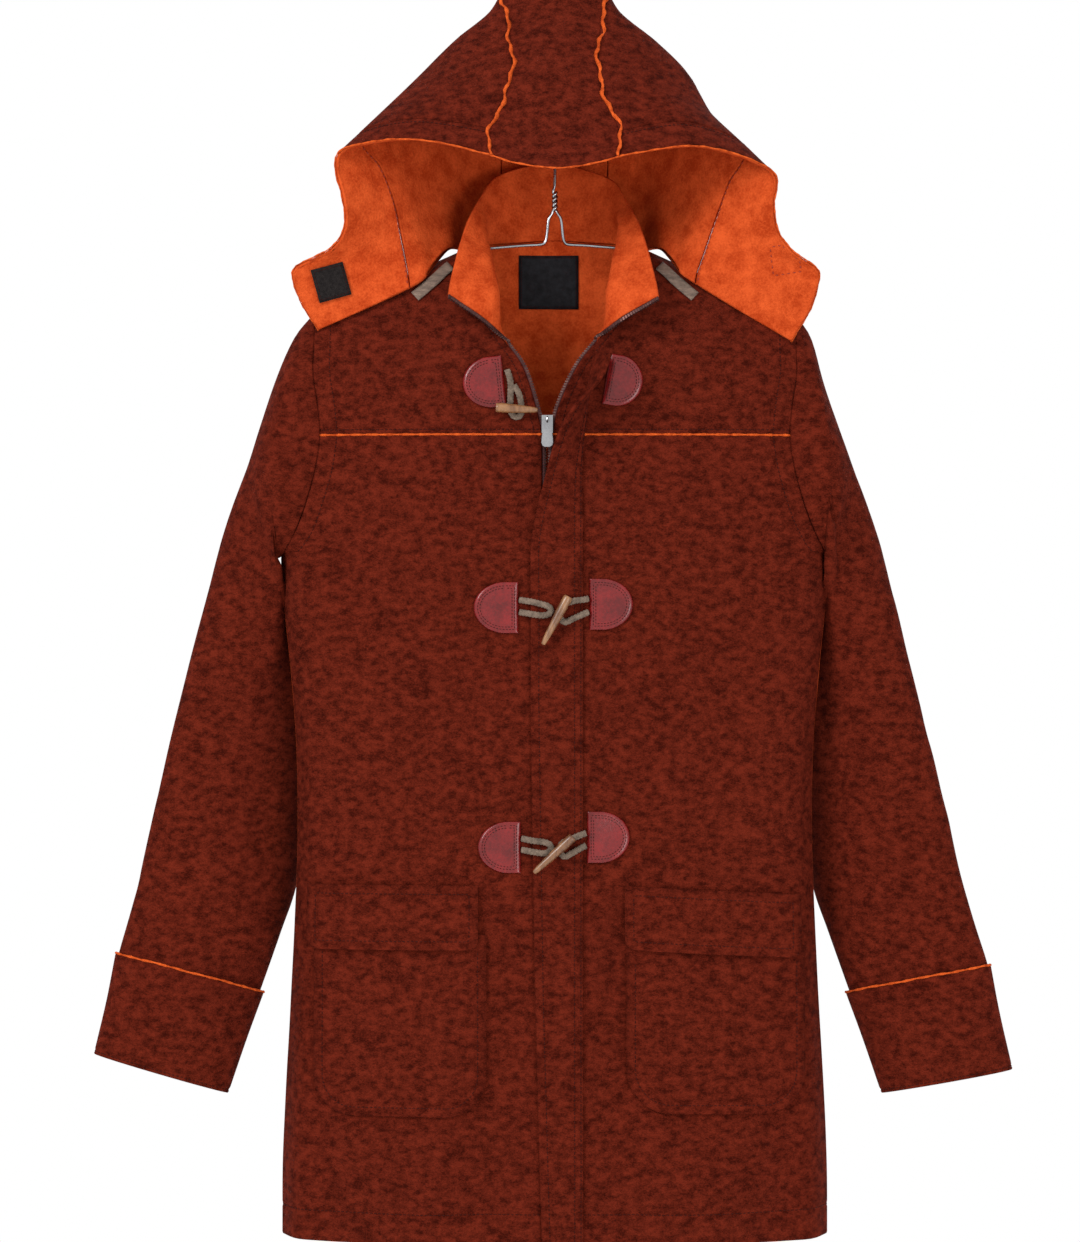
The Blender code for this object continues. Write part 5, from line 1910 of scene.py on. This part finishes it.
BACK_CREASES = [
    Crease(-96, -560, -122, -1146, 22, -2.2),
    Crease(-60, -620, -70, -1146, 24, 1.8),
    Crease(8, -660, -4, -1146, 24, -2.3),
    Crease(60, -700, 70, -1100, 24, 1.7),
    Crease(104, -520, 128, -1146, 22, -2.1),
    Crease(-160, -860, -176, -1146, 20, 1.8),
    Crease(176, -820, 186, -1146, 20, 1.6),
    Crease(-226, -490, -140, -600, 18, -2.2),
    Crease(224, -480, 150, -620, 18, -2.0),
    Crease(-206, -540, -170, -700, 16, 1.5),
    Crease(204, -530, 168, -720, 17, 1.5),
    Crease(-70, -330, -96, -400, 16, -1.0),
    Crease(76, -330, 90, -410, 16, -1.0),
    Crease(-300, -520, -262, -640, 16, -1.8),
    Crease(-330, -690, -262, -760, 13, 1.7),
    Crease(-354, -770, -286, -840, 12, -1.5),
    Crease(302, -530, 260, -650, 16, 1.7),
    Crease(334, -700, 262, -750, 13, -1.6),
    Crease(352, -780, 288, -850, 12, 1.5),
]

# Sewn outlines: distances from the edge, the square on the right tab, and where a line breaks
POCKET_STITCH = 8.0
LINE_BREAK = 12.0
OUTLINE_LEAST = 0.8
OUTLINE_STEP = 2.0
OUTLINE_SLACK = 0.25
OPEN_TOP_ROOM = 6
# Cells over which a laid piece's edge is rounded, and the power of the placket's bow
EDGE_ROUND = 1.6
PLACKET_BOW = 0.8
# Raw edges: width and height by the first word of the name, and how far a wave swings
RIB_SIZES = {"yoke": (1.9, 0.9), "cuff": (1.9, 0.9), "gusset": (2.6, 2.2), "rim": (1.5, 0.9)}
RIB_WAVE = 2.2
PATCH_STITCH = 3.4
TAB_OUTLINE = (208, -261, 12.5, 8)
ZIP_TOOTH_PITCH = 2.5


@dataclass(frozen=True)
class Camera:
    """The photo's viewpoint."""

    place: tuple[float, float, float] = (-0.0135, -3.0, -0.587)
    photo_height: float = 1242.0
    metres_a_pixel: float = 0.0009
    depth: float = 2.96

    def build(self) -> None:
        """Makes the camera, straight ahead."""
        data = bpy.data.cameras.new("camera")
        data.sensor_fit = "AUTO"
        data.angle = 2 * atan(0.5 * self.photo_height * self.metres_a_pixel / self.depth)
        camera = bpy.data.objects.new("camera", data)
        camera.location = self.place
        camera.rotation_euler = (pi / 2, 0, 0)
        bpy.context.scene.collection.objects.link(camera)
        bpy.context.scene.camera = camera


@dataclass(frozen=True)
class Lamp:
    """A soft area light."""

    name: str
    place: tuple[float, float, float]
    aim: tuple[float, float, float]
    size: float
    power: float

    def build(self) -> None:
        """Makes the light."""
        data = bpy.data.lights.new(self.name, "AREA")
        data.size = self.size
        data.energy = self.power
        lamp = bpy.data.objects.new(self.name, data)
        lamp.location = self.place
        lamp.rotation_euler = (Vector(self.aim) - Vector(self.place)).to_track_quat("-Z", "Y").to_euler()
        bpy.context.scene.collection.objects.link(lamp)


class Studio:
    """Pale floor, soft light and the camera."""

    LAMPS = (
        Lamp("key", (-1.9, -2.1, 0.9), (0.0, 0.0, -0.6), 1.0, 50.0),
        Lamp("fill", (1.5, -2.5, -0.9), (0.0, 0.0, -0.4), 1.0, 20.0),
        Lamp("rim", (0.6, 2.2, 1.0), (0.0, 0.0, -0.5), 1.6, 20.0),
    )
    FLOOR_Z = -1.42
    FLOOR_HALF = 1.1
    WORLD = (1.0, 1.0, 1.0)
    WORLD_STRENGTH = 1.0

    @classmethod
    def build(cls) -> None:
        """Makes floor, world, lights and camera."""
        half = cls.FLOOR_HALF / MM
        z = cls.FLOOR_Z / MM
        corners = np.array([(-half, -half, z), (half, -half, z), (half, half, z), (-half, half, z)])
        pale = Look("studio_floor", (0.86, 0.86, 0.86), (0.9, 0.9, 0.9), 0.9, 40.0, 2.0, 0.0002)
        floor = Piece.mesh("floor", corners, [(0, 1, 2, 3)], [pale.build()])
        bpy.context.scene.collection.objects.link(floor)
        floor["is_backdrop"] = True
        world = bpy.data.worlds.new("studio")
        world.use_nodes = True
        background = world.node_tree.nodes["Background"]
        background.inputs["Color"].default_value = (*cls.WORLD, 1.0)
        background.inputs["Strength"].default_value = cls.WORLD_STRENGTH
        bpy.context.scene.world = world
        for lamp in cls.LAMPS:
            lamp.build()
        Camera().build()
        bpy.context.scene.view_settings.view_transform = "Standard"


# Distances of the placket's stitch lines from its edges
PLACKET_EDGES = Edges(start=(7.5,), end=(1.9, 7.5), foot=(27.0,))


class Coat:
    """All cloth, trimmings and the hanger."""

    def __init__(self) -> None:
        self.looks = Wardrobe()
        self.sheets: dict[str, Sheet] = {}
        self.threads = Stitches("topstitching", self.looks["thread"])
        self.inner_threads = Stitches("hood_stitching", self.looks["thread_inside"], pitch=5.2)
        self.patch_threads = Stitches(
            "patch_stitching", self.looks["thread"], pitch=2.9, length=2.1, radius=0.32
        )

    def sheet(self, name: str, rows: Rows, flip: bool = False, **options) -> Sheet:
        """Cuts one sheet and keeps it.

        Args:
            name: its CAD node.
            rows: its coarse form.
            flip: whether its outer side is the other one.
            options: further fields of Sheet.

        Returns:
            The sheet.
        """
        made = Sheet(name, rows, flip=flip, **options)
        made.form()
        self.sheets[name] = made
        return made

    def cut(self) -> None:
        """Cuts all sheets of the coat."""
        for side, word in ((-1, "left"), (1, "right")):
            self.sheet("front_panel_" + word, BodyForm.front_panel(side), side > 0,
                       edges=Edges(foot=(27.0,), end=(16.0,)), line_foot=-526.0)
            self.sheet("front_yoke_" + word, BodyForm.front_yoke(side), side > 0,
                       edges=Edges(foot=(4.5,), end=(16.0,), start=(7.0,)))
            self.sheet("sleeve_" + word, SleeveForm.rings(side), side < 0, closed=True)
        self.sheet("back_yoke", BodyForm.back_yoke(),
                   edges=Edges(foot=(4.5,), start=(16.0,), end=(16.0,)))
        self.sheet("back_panel", BodyForm.back_panel(),
                   edges=Edges(foot=(27.0,), start=(16.0,), end=(16.0,)), line_foot=-526.0)
        self.sheet("collar", CollarForm.rows(), True, edges=Edges(foot=(6.5,)), creases=False, step=4.5)
        hood = HoodForm()
        band_rows = HOOD_ROW_STEPS[0]
        for side, word in ((-1, "left"), (1, "right")):
            grid = hood.grids[side]
            self.sheet("hood_band_" + word, grid[: band_rows + 1], side < 0, creases=False, step=5.0,
                       edges=Edges(foot=(4.0,)))
            self.sheet("hood_side_" + word, grid[band_rows:], side < 0, creases=False, step=5.5)
        self.sheet("hood_gusset", hood.gusset(), creases=False, step=5.0)
        for word in ("left", "right"):
            rows = SleeveForm.rings(-1 if word == "left" else 1)[CUFF_FIRST_RING:]
            base = Sheet("cuff_base", rows, flip=word == "left", creases=False)
            moved = base.grid + base.normals * (CLOTH + LAY_GAP + CUFF_REST)
            self.sheet("cuff_" + word, [list(r) for r in moved], word == "left", creases=False,
                       edges=Edges(foot=(3.0,)), fine=True, closed=True)

    def sew(self) -> None:
        """Makes the sheets' meshes, their topstitching and their raw edges."""
        for sheet in self.sheets.values():
            sheet.build(self.looks["outside"], self.looks["inside"])
            for edge in ("top", "foot", "start", "end"):
                for distance in getattr(sheet.edges, edge):
                    line = sheet.line(edge, distance)
                    if edge in ("start", "end"):
                        keep = line[0][:, 2] > sheet.line_foot
                        line = (line[0][keep], line[1][keep])
                    self.threads.add(line)
        ribs = (
            ("yoke_edge_left", "front_yoke_left", "foot", 0.0),
            ("yoke_edge_right", "front_yoke_right", "foot", 0.0),
            ("yoke_edge_back", "back_yoke", "foot", 0.0),
            ("cuff_edge_left", "cuff_left", "top", 0.1),
            ("cuff_edge_right", "cuff_right", "top", 0.1),
            ("gusset_edge_left", "hood_gusset", "start", 0.9),
            ("gusset_edge_right", "hood_gusset", "end", 0.9),
            ("rim_edge_left", "hood_band_left", "top", 0.1),
            ("rim_edge_right", "hood_band_right", "top", 0.1),
            ("rim_edge_middle", "hood_gusset", "top", 0.1),
        )
        for name, node, edge, wave in ribs:
            line = self.sheets[node].border(edge)
            wide, tall = RIB_SIZES[name.split("_")[0]]
            rib = RawEdge(name, width=wide, height=tall, wave=wave * RIB_WAVE)
            rib.build(line, self.looks["raw_edge"])
        for word in ("left", "right"):
            band = self.sheets["hood_band_" + word]
            points, normals = band.border("foot")
            keep = np.arange(len(points)) > 2
            self.inner_threads.add((points[keep] - normals[keep] * (CLOTH + 0.2), -normals[keep]), 0.3)

    def trim(self) -> None:
        """Adds placket, pockets, patches, label, tapes and the zip."""
        fronts = [self.sheets[n] for n in self.sheets if n.startswith("front_")]
        ground = Ground(fronts)
        brown = self.looks["outside"]
        self.placket(ground)
        for word, bag, flap in (("left", BAG_LEFT, FLAP_LEFT), ("right", BAG_RIGHT, FLAP_RIGHT)):
            rows = Laid.pocket_rows(bag)
            _, top = Laid.slab("pocket_bag_" + word + "_cloth", rows, ground, POCKET_CLOTH, brown,
                               Finish.FLEECE, "pocket_bag_" + word, gap=LAY_GAP + 0.2,
                               lies_on="front_panel_" + word)
            self.outline(rows, POCKET_STITCH, top, self.threads, open_top=True)
            rows = Laid.pocket_rows(flap)
            lift = POCKET_CLOTH + FLAP_LIFT

            def rise(x: np.ndarray, z: np.ndarray, flap=flap, bag=bag, lift=lift) -> np.ndarray:
                foot = bag[1] + FLAP_LEAD
                return lift * np.clip((flap[1] - z) / (flap[1] - foot), 0, 1)

            _, top = Laid.slab("pocket_flap_" + word + "_cloth", rows, ground, POCKET_CLOTH, brown,
                               Finish.FLEECE, "pocket_flap_" + word, gap=LAY_GAP + 0.2, dent=rise,
                               lies_on="pocket_bag_" + word)
            self.outline(rows, POCKET_STITCH, top, self.threads, open_top=False)
        for name, x, z, side, turn, wide in PATCHES:
            rows = Laid.patch_rows(x, z, side, turn, wide)
            under = "front_yoke_" if "top" in name else "front_panel_"
            _, top = Laid.slab(name + "_hide", rows, ground, PATCH_THICK, self.looks["leather"],
                               Finish.LEATHER, name, crown=1.0,
                               lies_on=under + ("left" if "left" in name else "right"))
            for distance in (PATCH_STITCH, PATCH_STITCH + 2.2):
                self.outline(rows, distance, top, self.patch_threads, open_top=False)
        self.toggles(ground)
        self.small_pieces(ground)
        self.zip()

    def outline(self, rows: list, distance: float, ground: Ground, threads: Stitches, open_top: bool) -> None:
        """Sews along the outline of a laid piece.

        Args:
            rows: the piece's rows of x and z.
            distance: how far inside its edge.
            ground: the piece's surface.
            threads: where the stitches go.
            open_top: whether the top edge stays free.
        """
        ring = Laid.ring(rows)
        keep = [0]
        for k in range(1, len(ring)):
            if np.linalg.norm(ring[k] - ring[keep[-1]]) > OUTLINE_LEAST:
                keep.append(k)
        ring = Curves.even(np.vstack([ring[keep], ring[0]]), OUTLINE_STEP)[:-1]
        inner = Laid.inset(ring, distance)
        apart = np.linalg.norm(inner[:, None] - ring[None], axis=2).min(axis=1)
        inner = inner[apart > distance - OUTLINE_SLACK]
        inner = np.vstack([inner, inner[0]])
        if open_top:
            top = max(p[1] for p in ring)
            inner = inner[inner[:, 1] < top - distance - OPEN_TOP_ROOM]
        points, normals = [], []
        for x, z in inner:
            hit = ground.hit(x, z)
            if hit is not None:
                points.append((x, hit[0], z))
                normals.append(tuple(hit[1]))
        points, normals = np.array(points), np.array(normals)
        gaps = np.flatnonzero(np.linalg.norm(np.diff(points, axis=0), axis=1) > LINE_BREAK)
        for run in np.split(np.arange(len(points)), gaps + 1):
            if len(run) > 3:
                threads.add((points[run], normals[run]), 0.1)

    def placket(self, ground: Ground) -> None:
        """The placket over the zip, brown on both faces.

        Args:
            ground: the fronts.
        """
        rows = []
        for z, root, free, lift in PLACKET:
            row = []
            for k in range(PLACKET_COLUMNS + 1):
                share = k / PLACKET_COLUMNS
                x = free + (root - free) * share
                bow = lift * (1 - share) ** PLACKET_BOW
                row.append((x, ground.level(x, z, 3.0) - LAY_GAP - CLOTH - bow, z))
            rows.append(row)
        made = Sheet("placket", rows, creases=False, edges=PLACKET_EDGES)
        made.form()
        self.sheets["placket"] = made
        made.build(self.looks["outside"], self.looks["outside"])
        for edge in ("start", "end", "foot"):
            for distance in getattr(PLACKET_EDGES, edge):
                self.threads.add(made.line(edge, distance))

    def toggles(self, ground: Ground) -> None:
        """Cords and toggles.

        Args:
            ground: the fronts.
        """
        for name, run in CORDS:
            level = min(ground.level(x, z, 3.0) for x, z, _ in run)
            Cord.build(name, run, level, self.looks["cord"])
        for name, thick_end, thin_end, height in TOGGLES:
            level = min(ground.level(x, z, 3.0) for x, z in (thick_end, thin_end))
            Toggle(name, thick_end, thin_end, height).build(level, self.looks["horn"])

    def small_pieces(self, ground: Ground) -> None:
        """Label, tapes, the hook-and-loop square and the sewn square outline.

        Args:
            ground: the fronts.
        """
        back = Ground([self.inner_face("back_yoke")])
        x_low, x_high, top, foot = LABEL
        rows = [[(x, z) for x in np.linspace(x_low, x_high, 15)] for z in np.linspace(top, foot, 13)]
        _, face = Laid.slab("neck_label_face", rows, back, LABEL_THICK, self.looks["label"],
                            Finish.TAPE, "neck_label", crown=0.3, lies_on="back_yoke")
        self.outline(rows, 2.2, face, self.patch_threads, open_top=False)
        tab = Ground([self.inner_face("hood_band_left")])
        x, z, half, turn = SQUARE
        rows = self.turned(x, z, half, turn, 8)
        _, face = Laid.slab("tab_square_face", rows, tab, SQUARE_THICK, self.looks["hook_loop"],
                            Finish.TAPE, "tab_square", gap=SQUARE_CLEAR, crown=0.3,
                            lies_on="hood_band_left")
        self.outline(rows, 2.2, face, self.patch_threads, open_top=False)
        other = Ground([self.inner_face("hood_band_right")])
        rows = self.turned(*TAB_OUTLINE, 8)
        ring = Curves.even(np.vstack([Laid.ring(rows), Laid.ring(rows)[0]]), 2.0)
        line = [((px, other.hit(px, pz)[0], pz), tuple(other.hit(px, pz)[1]))
                for px, pz in ring if other.hit(px, pz)]
        if line:
            self.inner_threads.add((np.array([p for p, _ in line]), np.array([n for _, n in line])), 0.2)
        for side, word in ((-1, "left"), (1, "right")):
            run = Curves.catmull(TAPE_RUN, [4] * (len(TAPE_RUN) - 1))
            along = run[-1] - run[0]
            along = along / np.linalg.norm(along)
            down = np.array([along[1], -along[0]]) * TAPE_WIDE
            rows = [[(px, pz) for px, pz in run + down * t] for t in np.linspace(0, 1, 7)]
            if side > 0:
                rows = [[(-px, pz) for px, pz in row[::-1]] for row in rows]
            Laid.slab("hood_tape_" + word + "_ribbon", rows, ground, TAPE_THICK,
                      self.looks["tape_ribbon"], Finish.CORD, "hood_tape_" + word,
                      gap=TAPE_CLEAR, crown=0.3, lies_on="front_yoke_" + word)

    def inner_face(self, name: str) -> PlainSheet:
        """The inner face of a sheet, for pieces sewn on it.

        Args:
            name: the sheet.

        Returns:
            Its surface.
        """
        sheet = self.sheets[name]
        return PlainSheet(name, sheet.grid - sheet.normals * sheet.thick)

    @staticmethod
    def turned(x: float, z: float, half: float, turn: float, steps: int) -> list:
        """Rows of x and z of a turned square.

        Args:
            x: middle across.
            z: middle height.
            half: half its side.
            turn: turn in degrees.
            steps: steps along a side.

        Returns:
            The rows.
        """
        a = radians(turn)
        rows = []
        for v in np.linspace(1, -1, steps + 1):
            row = []
            for u in np.linspace(-1, 1, steps + 1):
                dx, dz = half * u, half * v
                row.append((x + dx * cos(a) - dz * sin(a), z + dx * sin(a) + dz * cos(a)))
            rows.append(row)
        return rows

    def zip(self) -> None:
        """The zip's tapes and teeth, and the metal of its slider and pull tab."""
        for side, word in ((-1, "left"), (1, "right")):
            edges = ZipEdge.run(self, side)
            ZipEdge.build(edges, word, self.looks)
        metal = self.looks["chrome"]
        for node in ("zip_slider", "zip_pull"):
            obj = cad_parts[node]
            obj.data.materials.clear()
            obj.data.materials.append(metal)

    def hanger(self) -> None:
        """The wire hanger."""
        for side, word in ((-1, "left"), (1, "right")):
            Wire.build("hanger_wire_" + word, Wire.hanger_run(side), WIRE, self.looks["chrome"],
                       "hanger_" + word)

    def build(self) -> None:
        """Makes everything."""
        self.cut()
        self.sew()
        self.trim()
        self.hanger()
        for threads in (self.threads, self.inner_threads, self.patch_threads):
            threads.build()


class ZipEdge:
    """The tape and teeth along one front edge."""

    @staticmethod
    def run(coat: Coat, side: int) -> tuple[np.ndarray, np.ndarray, np.ndarray]:
        """The edge from the collar's corner to the hem.

        Args:
            coat: the coat with its sheets.
            side: -1 or 1.

        Returns:
            Points of the edge, directions out of the cloth, and normals.
        """
        word = "left" if side < 0 else "right"
        collar = coat.sheets["collar"]
        edge, near = (0, 2) if side < 0 else (-1, -3)
        here = collar.grid[::-1, edge]
        inside = collar.grid[::-1, near]
        normal = collar.normals[::-1, edge]
        yoke = coat.sheets["front_yoke_" + word]
        panel = coat.sheets["front_panel_" + word]
        low = yoke.grid[:, 0, 2] < here[-1, 2] - 1.0
        here = np.vstack([here, yoke.grid[low, 0], panel.grid[1:-1, 0]])
        inside = np.vstack([inside, yoke.grid[low, 2], panel.grid[1:-1, 2]])
        normal = np.vstack([normal, yoke.normals[low, 0], panel.normals[1:-1, 0]])
        out = here - inside
        out /= np.linalg.norm(out, axis=1, keepdims=True)
        return here, out, normal

    @staticmethod
    def build(edges: tuple[np.ndarray, np.ndarray, np.ndarray], word: str, looks: Wardrobe) -> None:
        """Makes tape and teeth.

        Args:
            edges: what run gives.
            word: left or right.
            looks: the materials.
        """
        here, out, normal = edges
        path = Curves.even(np.hstack([here, out * 0.001, normal * 0.001]), 3.0)
        place, out, normal = path[:, :3], path[:, 3:6], path[:, 6:]
        out = out / np.linalg.norm(out, axis=1, keepdims=True)
        normal = normal / np.linalg.norm(normal, axis=1, keepdims=True)
        sunk = place - normal * STRIP_SUNK
        grid = np.stack([sunk + out * d for d in (STRIP_NEAR, 1.4, 2.6, STRIP_FAR - 0.9)], axis=1)
        count, width = grid.shape[:2]
        index = np.arange(count * width).reshape(count, width)
        quads = np.stack([index[:-1, :-1], index[:-1, 1:], index[1:, 1:], index[1:, :-1]], axis=-1)
        quads = quads.reshape(-1, 4)
        if word == "left":
            quads = quads[:, ::-1]
        tape = Piece.mesh("zip_tape_" + word, grid.reshape(-1, 3), quads, [looks["zip_tape"]])
        wall = tape.modifiers.new("thickness", "SOLIDIFY")
        wall.thickness = STRIP_THICK * MM
        wall.offset = -1.0
        Piece.add(tape, Finish.TAPE, ["zip_" + word])
        run = Curves.lengths(place)
        at = np.arange(1.2, run[-1] - 1.0, ZIP_TOOTH_PITCH)
        verts, faces = [], []
        for centre in at:
            p = np.array([np.interp(centre, run, place[:, k]) for k in range(3)])
            o = np.array([np.interp(centre, run, out[:, k]) for k in range(3)])
            n = np.array([np.interp(centre, run, normal[:, k]) for k in range(3)])
            ahead = np.cross(o, n)
            ahead /= np.linalg.norm(ahead)
            base = len(verts)
            for d in (STRIP_FAR - 2.6, STRIP_FAR):
                for a, b in ((-1, -1), (1, -1), (1, 1), (-1, 1)):
                    half = ZIP_TOOTH_PITCH * 0.27
                    verts.append(p + o * d + ahead * a * half
                                 + n * (b * 1.15 - STRIP_SUNK - STRIP_THICK / 2))
            b = base
            faces += [(b, b + 1, b + 2, b + 3), (b + 7, b + 6, b + 5, b + 4), (b, b + 4, b + 5, b + 1),
                      (b + 1, b + 5, b + 6, b + 2), (b + 2, b + 6, b + 7, b + 3), (b + 3, b + 7, b + 4, b)]
        teeth = Piece.mesh("zip_teeth_" + word, np.array(verts), faces, [looks["teeth"]])
        Piece.add(teeth, Finish.CHROME, smooth=False)


def main() -> None:
    """Makes the scene."""
    logging.basicConfig(level=logging.INFO, format="%(name)s: %(message)s")
    Coat().build()
    Studio.build()
    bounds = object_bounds()
    {"cad": plain(CAD_BOX), "visual": plain(bounds)}


def plain(value) -> list:
    """A box as plain lists.

    Args:
        value: nested vectors or numbers.

    Returns:
        The same as lists of floats.
    """
    if hasattr(value, "__len__"):
        return [plain(v) for v in value]
    return float(value)


if __name__ == "__main__":
    main()
